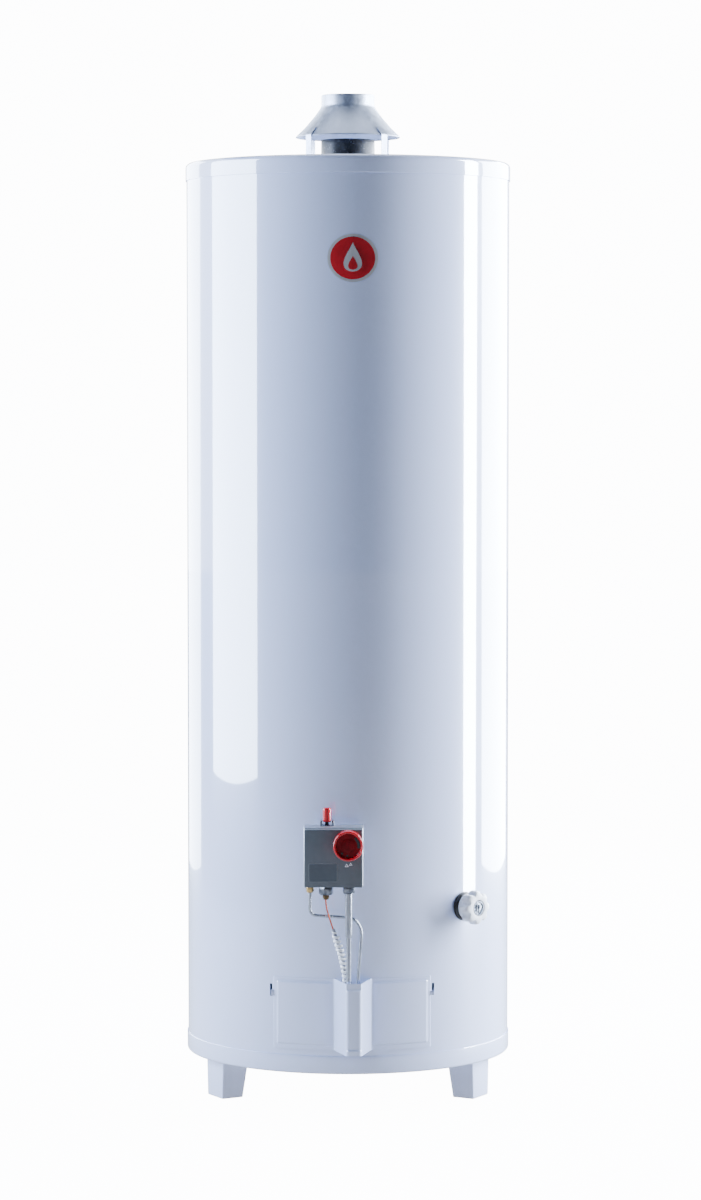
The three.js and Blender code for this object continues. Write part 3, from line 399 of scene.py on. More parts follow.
# %% Valve, tube and fitting finishes
cover_paint = make_finish("satin_grey_paint", (0.095, 0.112, 0.130), (0.085, 0.100, 0.117), (0.36, 0.48),
                          coat=0.15, cloud=70, tooth=1500, depth=0.03)
label_foil = make_finish("dull_label_foil", (0.074, 0.092, 0.112), (0.066, 0.083, 0.102), (0.32, 0.40),
                         cloud=90, tooth=2000, depth=0.01)
label_edge = make_finish("label_edge_line", (0.19, 0.215, 0.245), (0.17, 0.195, 0.22), (0.34, 0.44), cloud=90,
                         tooth=2000, depth=0.01)
cast_aluminium = make_finish("cast_aluminium", (0.50, 0.53, 0.60), (0.40, 0.43, 0.49), (0.30, 0.46),
                             metal=0.9, cloud=80, tooth=800, depth=0.08)
drawn_aluminium = add_scratches(
    make_finish("drawn_aluminium", (0.38, 0.40, 0.46), (0.27, 0.29, 0.34), (0.14, 0.22), metal=0.95,
                cloud=60, tooth=1800, depth=0.01), (0.42, 0.45, 0.51))
red_plastic = make_finish("glossy_red_plastic", (0.56, 0.004, 0.014), (0.46, 0.003, 0.010), (0.20, 0.30),
                          coat=0.3, cloud=90, tooth=1600, depth=0.01)
dark_red = make_finish("dial_red", (0.22, 0.002, 0.007), (0.13, 0.001, 0.004), (0.40, 0.55), cloud=140,
                       tooth=1500, depth=0.03)
shader_of(dark_red).inputs["Specular IOR Level"].default_value = 0.15
pale_mark = make_finish("pale_print", (0.78, 0.80, 0.84), (0.70, 0.72, 0.76), (0.4, 0.5), cloud=200,
                        tooth=2000, depth=0.005)
black_plastic = make_finish("black_moulded", (0.012, 0.012, 0.014), (0.022, 0.022, 0.025), (0.35, 0.5),
                            cloud=120, tooth=1600, depth=0.03)
brass = make_finish("machined_brass", (0.70, 0.50, 0.22), (0.52, 0.36, 0.15), (0.18, 0.34), metal=1.0,
                    cloud=160, tooth=2400, depth=0.01)
dark_brass = make_finish("tarnished_brass", (0.16, 0.11, 0.055), (0.08, 0.055, 0.03), (0.28, 0.44), metal=0.9,
                         cloud=200, tooth=2200, depth=0.02)
copper = make_finish("drawn_copper", (0.62, 0.17, 0.10), (0.36, 0.08, 0.05), (0.25, 0.42), metal=0.85,
                     cloud=220, tooth=2400, depth=0.02)
badge_red = make_finish("badge_red", (0.52, 0.012, 0.022), (0.36, 0.006, 0.014), (0.15, 0.24), coat=0.8,
                        cloud=26, tooth=1500, depth=0.006)
badge_silver = make_finish("badge_silver", (0.52, 0.53, 0.56), (0.47, 0.48, 0.51), (0.28, 0.36), metal=0.35,
                           cloud=60, tooth=1500, depth=0.01)
print("valve, tube and badge finishes ready")

# %% [markdown]
# The sleeve on the thermocouple lead is white glass yarn wound round and round. Its turns are real geometry; the
# finish adds the fine threads across each turn. The core under them is the same white yarn; its grey colour is
# painted shade, for the shade it lies in between the turns.

# %% Wound sleeve
def make_yarn():
    material = make_finish("white_glass_yarn", (0.90, 0.91, 0.95), (0.74, 0.76, 0.84), (0.6, 0.8), cloud=200,
                           tooth=2600, depth=0.06)
    return add_scratches(material, (0.97, 0.98, 1.0), across=2200, along=500, lift=0.05)


yarn = make_yarn()
# painted shade: this grey stands for the shade between the turns of white yarn
yarn_core_painted_shade = make_finish("yarn_painted_shade", (0.34, 0.35, 0.41), (0.24, 0.25, 0.30), (0.7, 0.9), cloud=200,
                        tooth=2600, depth=0.05)
print("yarn finishes ready:", yarn.name, yarn_core_painted_shade.name)

# %% [markdown]
# What the casing hides still gets its own finish: glass-lined steel, mill-finish steel, mineral wool, the
# magnesium anode and the plastics. They show when the door is pulled off or when the heater is seen from
# below.

# %% Hidden finishes
glass_lining = make_finish("fired_blue_glass", (0.035, 0.095, 0.21), (0.02, 0.055, 0.14), (0.2, 0.4),
                           coat=0.5, cloud=20, tooth=500, depth=0.05)
mill_steel = add_scratches(
    make_finish("mill_finish_steel", (0.42, 0.43, 0.46), (0.28, 0.29, 0.32), (0.35, 0.55), metal=1.0,
                cloud=30, tooth=1200, depth=0.03), (0.22, 0.23, 0.26), across=400, along=40)
wool = make_finish("mineral_wool", (0.66, 0.55, 0.24), (0.48, 0.38, 0.14), (0.9, 1.0), cloud=60, tooth=420,
                   depth=1.6)
magnesium = make_finish("cast_magnesium", (0.46, 0.46, 0.48), (0.32, 0.32, 0.34), (0.45, 0.65), metal=0.9,
                        cloud=50, tooth=600, depth=0.08)
natural_polymer = make_finish("natural_polymer", (0.72, 0.72, 0.68), (0.62, 0.62, 0.58), (0.4, 0.55),
                              cloud=40, tooth=1200, depth=0.02)
blue_plastic = make_finish("blue_moulded", (0.025, 0.10, 0.46), (0.015, 0.07, 0.36), (0.3, 0.42), cloud=90,
                           tooth=1400, depth=0.02)
HIDDEN = {
    "glass_lining": glass_lining, "steel": mill_steel, "mineral_wool": wool, "magnesium": magnesium,
    "dip_polymer": natural_polymer, "galvanised": galvanised, "copper": copper, "brass": brass,
    "enamel": enamel, "black_steel": scaled_steel, "aluminium": drawn_aluminium, "red_plastic": red_plastic,
    "blue_plastic": blue_plastic, "white_plastic": white_plastic, "valve_grey": cover_paint,
    "woven_sleeve": yarn, "badge_lacquer": badge_red,
}
for part in frame["record"]["subparts"]:
    slots = nodes[part["node"]].data.materials
    slots.clear()
    slots.append(HIDDEN[part["material_slot"]])

# %% [markdown]
# Every piece ends the same way. Its bmesh is closed at its seams and turned outward, it becomes a named
# object that rides on its body, and it replaces its plain CAD nodes. Edges that stay open are marked sharp,
# because the wall they get later would otherwise tilt the shading of the whole row beside them.

# %% Finishing a piece
def settle(name, bm, material, body, replaced=(), crease=35, recalc=True):
    """Turns a bmesh into a finished piece: closed seams, faces outward, smooth where it is round."""
    bmesh.ops.remove_doubles(bm, verts=bm.verts, dist=0.002 * MM)
    if recalc:
        bmesh.ops.recalc_face_normals(bm, faces=bm.faces)
    bm.edges.index_update()
    open_edges = [e.index for e in bm.edges if e.is_boundary]
    mesh = bpy.data.meshes.new(name)
    bm.to_mesh(mesh)
    bm.free()
    mesh.materials.append(material)
    mesh.shade_smooth()
    mesh.set_sharp_from_angle(angle=math.radians(crease))
    for index in open_edges:
        mesh.edges[index].use_edge_sharp = True
    thing = bpy.data.objects.new(name, mesh)
    bpy.context.scene.collection.objects.link(thing)
    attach(thing, body)
    if replaced:
        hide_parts(*replaced)
    print(f"{name}: {len(mesh.polygons)} faces, {tuple(round(v / MM, 1) for v in thing.dimensions)} mm")
    return thing

# %% [markdown]
# Most of the heater is round, so most pieces begin as half a cross-section that is spun about an axis. The
# rest begin as a bevelled block. Both are joined with others where one part has several shapes.

# %% Turned shapes and blocks
def spin_outline(outline, steps, closed=True, start=0.0):
    """Spins [radius, height] pairs, in millimetres, about Z."""
    bm = bmesh.new()
    verts = [bm.verts.new((r * MM, 0, z * MM)) for r, z in outline]
    pairs = list(zip(verts, verts[1:])) + ([(verts[-1], verts[0])] if closed else [])
    edges = [bm.edges.new(pair) for pair in pairs]
    bmesh.ops.rotate(bm, verts=verts, cent=(0, 0, 0), matrix=Matrix.Rotation(start, 3, "Z"))
    bmesh.ops.spin(bm, geom=verts + edges, cent=(0, 0, 0), axis=(0, 0, 1), angle=2 * math.pi,
                   steps=steps, use_merge=True)
    bmesh.ops.remove_doubles(bm, verts=bm.verts, dist=0.001 * MM)
    return bm


def arc(centre_r, centre_z, radius, start, end, steps=6):
    """Points of a rounded corner; angles in degrees, 0 points outward and 90 up."""
    turns = [math.radians(start + (end - start) * i / steps) for i in range(steps + 1)]
    return [(centre_r + radius * math.cos(t), centre_z + radius * math.sin(t)) for t in turns]


def block(low, high, bevel=0.6, segments=3):
    """A bevelled block between two corners, in millimetres."""
    bm = bmesh.new()
    bmesh.ops.create_cube(bm, size=1)
    size = [(h - l) * MM for l, h in zip(low, high)]
    bmesh.ops.scale(bm, vec=size, verts=bm.verts)
    bmesh.ops.translate(bm, vec=[(h + l) / 2 * MM for l, h in zip(low, high)], verts=bm.verts)
    if bevel:
        bmesh.ops.bevel(bm, geom=bm.edges[:], offset=bevel * MM, segments=segments, profile=0.5,
                        affect="EDGES", material=-1)
    return bm


def join(target, other):
    """Adds another bmesh's faces to the target."""
    mesh = bpy.data.meshes.new("joining")
    other.to_mesh(mesh)
    other.free()
    target.from_mesh(mesh)
    bpy.data.meshes.remove(mesh)
    return target

# %% [markdown]
# Shapes are made at the middle of the world, where they are simple, and then put in place: moved, turned,
# laid so that they face out of the casing, and set on the tank's axis.

# %% Placing a shape
def move(bm, offset):
    bmesh.ops.translate(bm, vec=Vector(offset), verts=bm.verts)
    return bm


def turn(bm, angle, axis="Z"):
    bmesh.ops.rotate(bm, verts=bm.verts, cent=(0, 0, 0), matrix=Matrix.Rotation(angle, 3, axis))
    return bm


def face_front(bm, azimuth, height):
    """Lays +Z along the outward direction, then turns it round the tank and puts it on the heater."""
    turn(bm, math.pi / 2, "X")
    move(bm, (0, 0, height))
    turn(bm, azimuth)
    return move(bm, AXIS)


def face_front_plain(bm, height, side=0.0):
    """Lays +Z along the outward direction of the front, in the tank's own frame."""
    turn(bm, math.pi / 2, "X")
    return move(bm, (side * MM, 0, height * MM))


def on_axis(bm):
    return move(bm, AXIS)

# %% [markdown]
# A bent tube is a route and a radius. The route is either straight runs with round bends, as a fitter bends
# a pipe, or one smooth curve through a few points, as a soft lead lies. A curve object with a round bevel
# follows the route and is kept as a mesh.

# %% Tubes along a route
def bent_route(corners, bend, steps=8):
    """Points along straight runs joined by round bends; corners in metres."""
    points = [Vector(corners[0])]
    for before, corner, after in zip(corners, corners[1:], corners[2:]):
        corner = Vector(corner)
        back, ahead = Vector(before) - corner, Vector(after) - corner
        reach = min(bend, back.length / 2.2, ahead.length / 2.2)
        entry, leave = corner + back.normalized() * reach, corner + ahead.normalized() * reach
        for i in range(steps + 1):
            t = i / steps
            points.append(entry * (1 - t) ** 2 + corner * 2 * t * (1 - t) + leave * t ** 2)
    points.append(Vector(corners[-1]))
    return points


def tube_along(name, points, radius, material, body, replaced=(), round_steps=6, swell=None):
    """A round tube along a route, made as a bevelled curve and kept as a mesh."""
    data = bpy.data.curves.new(name + "_route", "CURVE")
    data.dimensions = "3D"
    data.bevel_depth = radius
    data.bevel_resolution = round_steps
    data.use_fill_caps = True
    spline = data.splines.new("POLY")
    spline.points.add(len(points) - 1)
    for index, (knot, point) in enumerate(zip(spline.points, points)):
        knot.co = (*point, 1)
        knot.radius = swell[index] if swell else 1
    route = bpy.data.objects.new(name + "_route", data)
    bpy.context.scene.collection.objects.link(route)
    bpy.context.view_layer.update()
    mesh = bpy.data.meshes.new_from_object(route)
    bpy.data.objects.remove(route)
    bm = bmesh.new()
    bm.from_mesh(mesh)
    bpy.data.meshes.remove(mesh)
    return settle(name, bm, material, body, replaced)


def through_points(knots, steps=10):
    """A smooth centripetal curve through the knots."""
    knots = [Vector(k) for k in knots]
    padded = [knots[0] * 2 - knots[1], *knots, knots[-1] * 2 - knots[-2]]
    points = []
    for a, b, c, d in zip(padded, padded[1:], padded[2:], padded[3:]):
        t0 = 0
        t1 = t0 + (b - a).length ** 0.5
        t2 = t1 + (c - b).length ** 0.5
        t3 = t2 + (d - c).length ** 0.5
        for i in range(steps):
            t = t1 + (t2 - t1) * i / steps
            ab = a * ((t1 - t) / (t1 - t0)) + b * ((t - t0) / (t1 - t0))
            bc = b * ((t2 - t) / (t2 - t1)) + c * ((t - t1) / (t2 - t1))
            cd = c * ((t3 - t) / (t3 - t2)) + d * ((t - t2) / (t3 - t2))
            abc = ab * ((t2 - t) / (t2 - t0)) + bc * ((t - t0) / (t2 - t0))
            bcd = bc * ((t3 - t) / (t3 - t1)) + cd * ((t - t1) / (t3 - t1))
            points.append(abc * ((t2 - t) / (t2 - t1)) + bcd * ((t - t1) / (t2 - t1)))
    return [*points, knots[-1]]


def thicken(thing, thickness, offset=-1.0):
    wall = thing.modifiers.new("wall", "SOLIDIFY")
    wall.thickness = thickness
    wall.offset = offset
    return thing

# %% [markdown]
# The jacket is one sheet rolled into a tube. It is spun as a thin surface with rows of vertices where
# something has to be cut: the burner opening and two hook slots behind the door, and the round holes for
# the valve's neck and the drain. Cut points are pushed back out to the true radius, so that the enamel
# keeps a clean reflection right up to each hole. A Solidify modifier then gives the sheet its thickness.

# %% Jacket
JACKET = JACKET_R / MM
door_low, door_high = (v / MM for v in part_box("access_door"))
OPENING_HALF = math.radians(21)
OPENING_Z = (door_low.z + 8, door_high.z - 8)
HOOK_TURN = math.radians(29.1)
HOOK_X = (CASING_R / MM) * math.sin(HOOK_TURN)
HOOK_Z = (door_high.z - 28, door_high.z - 11)
valve_low, valve_high = (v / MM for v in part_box("valve_body"))
drain_low, drain_high = (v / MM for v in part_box("drain_stem"))
VALVE_Z = (valve_low.z + valve_high.z) / 2
DRAIN_Z = (drain_low.z + drain_high.z) / 2


def push_to_radius(verts, radius):
    for vert in verts:
        flat = Vector((vert.co.x, vert.co.y, 0))
        flat.normalize()
        vert.co = Vector((flat.x * radius, flat.y * radius, vert.co.z))


def cut_round_hole(bm, azimuth, height, radius):
    """Deletes the faces inside a circle on the jacket and draws the edge of the gap onto the circle."""
    outward = Vector((math.sin(azimuth), -math.cos(azimuth), 0))
    across = Vector((math.cos(azimuth), math.sin(azimuth), 0))

    def local(point):
        return Vector((point.dot(across), point.z - height * MM))

    near = [f for f in bm.faces if f.calc_center_median().dot(outward) > 0]
    gone = [f for f in near if local(f.calc_center_median()).length < radius * MM]
    rim = {v for f in gone for v in f.verts if any(g not in gone for g in v.link_faces)}
    bmesh.ops.delete(bm, geom=gone, context="FACES")
    for vert in rim:
        spot = local(vert.co).normalized() * radius * MM
        turn_by = math.asin(spot.x / JACKET_R)
        ahead = outward * math.cos(turn_by) + across * math.sin(turn_by)
        vert.co = ahead * JACKET_R + Vector((0, 0, height * MM + spot.y))
    print(f"round hole at {height:.0f} mm: {len(gone)} faces out, {len(rim)} points on its rim")


def build_jacket():
    low, high = jacket_low.z / MM, jacket_high.z / MM
    fine = [VALVE_Z + 4 * i for i in range(-7, 8)] + [DRAIN_Z + 4 * i for i in range(-6, 7)]
    rows = sorted({low, high, *OPENING_Z, *HOOK_Z, *fine, 470, 640, 820, 1000, 1160})
    bm = spin_outline([(JACKET, z) for z in rows], 360, closed=False, start=FRONT_TURN - math.pi / 2)
    turn(bm, -FRONT_TURN)
    for side in (-1, 1):
        for edge in (HOOK_X - 1.6, HOOK_X + 1.6):
            hook_faces = [f for f in bm.faces if f.calc_center_median().y < 0
                          and HOOK_Z[0] < f.calc_center_median().z / MM < HOOK_Z[1]]
            around_hook = {g for f in hook_faces for g in (*f.verts, *f.edges)}
            bmesh.ops.bisect_plane(bm, geom=[*hook_faces, *around_hook], dist=1e-7,
                                   plane_co=(side * edge * MM, 0, 0), plane_no=(1, 0, 0))

    def inside_opening(spot):
        wide = abs(math.atan2(spot.x, -spot.y)) < OPENING_HALF
        return wide and OPENING_Z[0] < spot.z / MM < OPENING_Z[1]

    def inside_slot(spot):
        wide = spot.y < 0 and abs(abs(spot.x) / MM - HOOK_X) < 1.6
        return wide and HOOK_Z[0] < spot.z / MM < HOOK_Z[1]

    spots = {f: f.calc_center_median() for f in bm.faces}
    gone = [f for f, spot in spots.items() if inside_opening(spot) or inside_slot(spot)]
    bmesh.ops.delete(bm, geom=gone, context="FACES")
    push_to_radius(bm.verts, JACKET_R)
    bmesh.ops.reverse_faces(bm, faces=bm.faces)
    turn(bm, FRONT_TURN)
    cut_round_hole(bm, 0, VALVE_Z, 19)
    cut_round_hole(bm, DRAIN_TURN, DRAIN_Z, 14)
    return on_axis(bm)


jacket_skin = thicken(settle("jacket_skin", build_jacket(), enamel, "heater", ["jacket"],
                             recalc=False), 1 * MM)

# %% [markdown]
# The sheet's two edges meet at the back in a flat lap held by blind rivets. Nobody sees it in a front
# view, but a casing with no seam at all would be impossible to roll. The lap is a bevelled strip bent
# round the casing, and each rivet is a spun dome.

# %% Back seam and rivets
SEAM_LOW, SEAM_HIGH = ring_high.z / MM + 0.5, cover_low.z / MM - 0.5
RIVETS = 9


def build_seam():
    bm = block((-9, JACKET, SEAM_LOW), (9, JACKET + 0.8, SEAM_HIGH), bevel=0.25, segments=2)
    for vert in bm.verts:
        reach, swing = vert.co.y, vert.co.x / JACKET_R
        vert.co = Vector((math.sin(swing) * reach, math.cos(swing) * reach, vert.co.z))
    return on_axis(bm)


settle("jacket_seam", build_seam(), enamel, "heater")
for index in range(RIVETS):
    dome = spin_outline([(0, JACKET), (2.8, JACKET), *arc(0, JACKET + 0.2, 2.8, 5, 90, 5)[:-1],
                         (0, JACKET + 1.3)], 20)
    for vert in dome.verts:
        vert.co.z = min(vert.co.z, (JACKET + 1.3) * MM)
    height = SEAM_LOW + 35 + (SEAM_HIGH - SEAM_LOW - 70) * index / (RIVETS - 1)
    settle(f"seam_rivet_{index + 1}", face_front(dome, math.pi, height * MM), zinc_plate, "heater")

# %% [markdown]
# The cover is a pressed lid: a skirt that slips over the jacket, a rounded edge and a flat top with holes
# for the flue, the two water pipes and the anode. The skirt and edge are spun; the flat top is filled
# between the outer circle and the holes, and everything is thickened inward as one sheet.

# %% Top cover
COVER_TOP = cover_high.z / MM
COVER_EDGE = 7
FLUE_R = (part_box("flue_tube")[1].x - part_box("flue_tube")[0].x) / 2 / MM


def middle_of(node):
    low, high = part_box(node)
    return (low + high) / 2 - AXIS


def loop_of(bm, radius, steps, x=0.0, y=0.0, z=0.0):
    """A ring of edges; all in millimetres."""
    made = bmesh.ops.create_circle(bm, cap_ends=False, radius=radius * MM, segments=steps)
    bmesh.ops.translate(bm, vec=Vector((x, y, z)) * MM, verts=made["verts"])
    return list({e for v in made["verts"] for e in v.link_edges})


def flat_sheet(bm, outer, holes, z, steps=180):
    """Fills a disc with holes; holes are (radius, x, y)."""
    edges = loop_of(bm, outer, steps, z=z)
    for radius, x, y in holes:
        edges += loop_of(bm, radius, 64, x, y, z)
    bmesh.ops.triangle_fill(bm, use_beauty=True, use_dissolve=False, edges=edges, normal=(0, 0, 1))


def build_cover():
    radius = CASING_R / MM
    low = cover_low.z / MM
    shell = spin_outline([(radius - 0.35, low), (radius - 0.05, low + 0.25), (radius, low + 0.7),
                          (radius, COVER_TOP - COVER_EDGE - 3),
                          *arc(radius - COVER_EDGE, COVER_TOP - COVER_EDGE, COVER_EDGE, 0, 90, 12)],
                         360, closed=False)
    cold, hot, anode = middle_of("cold_nipple"), middle_of("hot_nipple"), middle_of("anode_rod")
    holes = [(FLUE_R + 0.3, 0, 0), (16.8, cold.x / MM, cold.y / MM), (16.8, hot.x / MM, hot.y / MM),
             (16.8, anode.x / MM, anode.y / MM)]
    flat_sheet(shell, radius - COVER_EDGE, holes, COVER_TOP, steps=360)
    return on_axis(shell)


thicken(settle("cover_skin", build_cover(), enamel, "heater", ["top_cover"]), 1 * MM)

# %% [markdown]
# The base ring is the same kind of pressing turned upside down: a floor with the air hole in its middle, a rounded
# lower edge and a short skirt outside the jacket, ending in an edge turned in a little at the top.

# %% Base ring
RING_EDGE = 3.5
RING_LOW, RING_TOP = ring_low.z / MM, ring_high.z / MM
AIR_HOLE = 120


def build_base_ring():
    radius = CASING_R / MM
    shell = spin_outline([(AIR_HOLE, RING_LOW + 5), (AIR_HOLE + 0.6, RING_LOW + 1.2),
                          (AIR_HOLE + 2, RING_LOW), (radius - RING_EDGE - 8, RING_LOW),
                          *arc(radius - RING_EDGE, RING_LOW + RING_EDGE, RING_EDGE, -90, 0, 8),
                          (radius, RING_TOP - 0.8), (radius - 0.1, RING_TOP - 0.25),
                          (radius - 0.45, RING_TOP)],
                         360, closed=False)
    return on_axis(shell)


thicken(settle("base_ring_skin", build_base_ring(), enamel, "heater", ["base_ring"]), 1 * MM)

# %% [markdown]
# Each foot is a folded sheet box, open toward the middle, wider at the top than at the floor. It starts as
# a cube whose lower corners are drawn in; the outer edges are rounded and the open side is deleted.

# %% Feet
FOOT_TOP = (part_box("foot_left")[1].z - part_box("foot_left")[0].z) / MM
FOOT_OUT = 216
FOOT_WIDE, FOOT_NARROW = 50, 45
FOOT_DEEP, FOOT_SHALLOW = 40, 32


def build_foot(azimuth):
    bm = bmesh.new()
    bmesh.ops.create_cube(bm, size=2)
    for vert in bm.verts:
        up = vert.co.z > 0
        width, depth = (FOOT_WIDE, FOOT_DEEP) if up else (FOOT_NARROW, FOOT_SHALLOW)
        outward = FOOT_OUT if vert.co.y < 0 else FOOT_OUT - depth
        vert.co = Vector((vert.co.x * width / 2, -outward, FOOT_TOP if up else 0)) * MM
    open_side = max(bm.faces, key=lambda f: f.calc_center_median().y)
    rounded = [e for e in bm.edges if open_side not in e.link_faces]
    bmesh.ops.delete(bm, geom=[open_side], context="FACES")
    bmesh.ops.bevel(bm, geom=[e for e in rounded if e.is_valid], offset=2.2 * MM, segments=4, profile=0.5,
                    affect="EDGES", material=-1)
    turn(bm, azimuth)
    return on_axis(bm)


for name in ("foot_left", "foot_right", "foot_rear"):
    centre = middle_of(name)
    piece = settle(name + "_skin", build_foot(math.atan2(centre.x, -centre.y)), enamel, "heater", [name])
    thicken(piece, 2 * MM)

# %% [markdown]
# The access door is one pressed sheet: a curved plate on each side and a wedge-shaped snout in the middle
# for the tubes. Seen from above it is a single line, so it is built that way: stations along the line,
# rows up the height, and a flat grid mapped onto them. Raised panels, the snout's stepped lip and the bead
# near its foot are small offsets along the surface normal. Here the line and the offsets are worked out.

# %% Door line and offsets
DOOR_HALF = math.radians(28.2)
DOOR_LOW, DOOR_TOP = door_low.z, door_high.z
SNOUT_ROOT = (25.6, 228.6)
SNOUT_FRONT = (10, CASING_R / MM + 48)
PANEL_RISE, PANEL_SIDE, PANEL_END = 0.9, 5.2, 6.0


def door_line():
    """Stations across the door, left to right, as places in millimetres."""
    radius = CASING_R / MM
    root_angle = math.asin((SNOUT_ROOT[0] + 4) / radius)
    bends = bent_route([(-math.sin(root_angle) * radius, -math.cos(root_angle) * radius, 0),
                        (-SNOUT_ROOT[0], -SNOUT_ROOT[1], 0), (-SNOUT_FRONT[0], -SNOUT_FRONT[1], 0),
                        (0, -SNOUT_FRONT[1], 0)], 4, steps=6)
    slant = [bends[0], *bends[1:8], *[bends[7].lerp(bends[8], i / 6) for i in range(1, 6)], *bends[8:]]
    marks = [0, 0.4, 1.2, PANEL_SIDE, PANEL_SIDE + 0.8, PANEL_SIDE + 1.6, PANEL_SIDE + 2.4]
    arc_length = radius * (DOOR_HALF - root_angle)
    marks += [PANEL_SIDE + 4 + i * 4 for i in range(int((arc_length - PANEL_SIDE - 6) / 4))]
    angles = [DOOR_HALF - mark / radius for mark in marks]
    plate = [Vector((-math.sin(a) * radius, -math.cos(a) * radius, 0)) for a in angles]
    left = plate + slant
    line = left + [Vector((-p.x, p.y, 0)) for p in reversed(left[:-1])]
    print(f"door line: {len(line)} stations, {len(plate)} on each plate")
    return line


def smooth_step(low, high, value):
    share = min(max((value - low) / (high - low), 0), 1)
    return share * share * (3 - 2 * share)


def door_offset(point, z):
    """How far a spot of the door stands off its plain line, in millimetres."""
    swing = abs(math.atan2(point.x, -point.y))
    off_side = (DOOR_HALF - swing) * CASING_R / MM
    on_plate = point.length < CASING_R / MM + 1
    if on_plate:
        off_snout = swing * CASING_R / MM - SNOUT_ROOT[0]
        rise = smooth_step(PANEL_SIDE, PANEL_SIDE + 2.4, off_side) * smooth_step(2.5, 6, off_snout)
        rise *= smooth_step(PANEL_END, PANEL_END + 2.4, z - DOOR_LOW)
        rise *= smooth_step(PANEL_END - 1, PANEL_END + 1.4, DOOR_TOP - z)
        return PANEL_RISE * rise - 0.9 * smooth_step(1.2, 0, off_side)
    on_front = smooth_step(SNOUT_FRONT[0] + 0.5, SNOUT_FRONT[0] - 1.5, abs(point.x))
    lip = smooth_step(9.5, 8.3, DOOR_TOP - z)
    bead = smooth_step(4.2, 5.4, z - DOOR_LOW) * smooth_step(8.4, 7.2, z - DOOR_LOW)
    return on_front * (0.8 * bead - 1.6 * lip)

# %% [markdown]
# The door's plates and snout come from one grid: each of its points looks up its station on the line and
# its row, and is then moved off the line by the offsets. The wedge-shaped floor closes the snout below. The
# two hooks are bevelled tabs that pass through slots in the jacket and turn in behind it, so the door is
# lifted and pulled off without tools.

# %% Door
def build_door():
    line = door_line()
    rows = [0, 0.4, 1.2, 4.2, 4.8, 5.4, 6, 6.8, 7.2, 7.8, 8.4, 9.6]
    rows += [12 + 6 * i for i in range(12)]
    rows += [86.5, 88, 89.5, 90.1, 90.7, 91.6, 92.4, 93.2, 94, 97.8, 98.6, 99]
    bm = bmesh.new()
    bmesh.ops.create_grid(bm, x_segments=len(line) - 1, y_segments=len(rows) - 1, size=1)
    normals = []
    for i in range(len(line)):
        along = line[min(i + 1, len(line) - 1)] - line[max(i - 1, 0)]
        normals.append(Vector((along.y, -along.x, 0)).normalized())
    for vert in bm.verts:
        i = round((vert.co.x + 1) / 2 * (len(line) - 1))
        j = round((vert.co.y + 1) / 2 * (len(rows) - 1))
        z = DOOR_LOW + rows[j]
        place = line[i] + normals[i] * door_offset(line[i], z)
        vert.co = Vector((place.x, place.y, z)) * MM
    bmesh.ops.recalc_face_normals(bm, faces=bm.faces)
    if sum((f.normal.y for f in bm.faces)) > 0:
        bmesh.ops.reverse_faces(bm, faces=bm.faces)
    turn(bm, FRONT_TURN)
    return on_axis(bm)


def build_snout_floor():
    """The plate that closes the snout's underside: a wedge-shaped outline lifted into a thin plate."""
    radius = CASING_R / MM
    bm = bmesh.new()
    outline = [(-24.6, -228.9), (-SNOUT_FRONT[0] + 1, -SNOUT_FRONT[1] + 1.1),
               (SNOUT_FRONT[0] - 1, -SNOUT_FRONT[1] + 1.1), (24.6, -228.9), (0, -radius + 1)]
    face = bm.faces.new([bm.verts.new((x * MM, y * MM, (DOOR_LOW + 0.1) * MM)) for x, y in outline])
    raised = bmesh.ops.extrude_face_region(bm, geom=[face])
    lifted = [v for v in raised["geom"] if isinstance(v, bmesh.types.BMVert)]
    bmesh.ops.translate(bm, vec=(0, 0, 0.9 * MM), verts=lifted)
    turn(bm, FRONT_TURN)
    return on_axis(bm)


def build_hook(side, drop):
    """A tab that leaves the door's edge, crosses the slot and turns in behind the jacket."""
    reach_in = (JACKET - 6.5) * math.cos(HOOK_TURN)
    rest = math.sqrt((CASING_R / MM - 1) ** 2 - (HOOK_X - 4.4) ** 2)
    low, high = HOOK_Z[0] + 1, HOOK_Z[1] - 1 - drop
    bm = block((-0.5, -rest - 1.2, low), (0.5, -reach_in, high), bevel=0.2, segments=2)
    join(bm, block((-4.4, -rest - 1.2, low), (0.5, -rest, high), bevel=0.2, segments=2))
    if side < 0:
        bmesh.ops.scale(bm, vec=(-1, 1, 1), verts=bm.verts)
    move(bm, (side * HOOK_X * MM, 0, 0))
    turn(bm, FRONT_TURN)
    return on_axis(bm)


door_skin = settle("door_skin", build_door(), enamel, "access_door", ["access_door"], recalc=False)
thicken(door_skin, 1 * MM)
settle("snout_floor", build_snout_floor(), enamel, "access_door")
settle("door_hook_left", build_hook(-1, 7), enamel, "access_door")
settle("door_hook_right", build_hook(1, 9.5), enamel, "access_door")

# %% [markdown]
# The draught hood stands over the flue tube and lets room air mix with the flue gas. It is a spun cone
# with a short collar, rolled over at the brim. Four strips of the same sheet hold it: each has a sole on
# the cover, rises outside the brim and folds in to lie on the cone. A strip is a flat grid laid along a
# bent line and thickened.

# %% Draught hood
hood_low, hood_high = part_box("draught_hood")
BRIM, HOOD_TOP = hood_low.z / MM, hood_high.z / MM
BRIM_R = (hood_high.x - hood_low.x) / 2 / MM
CONE_TOP = BRIM + 43
COLLAR_R = 37.5


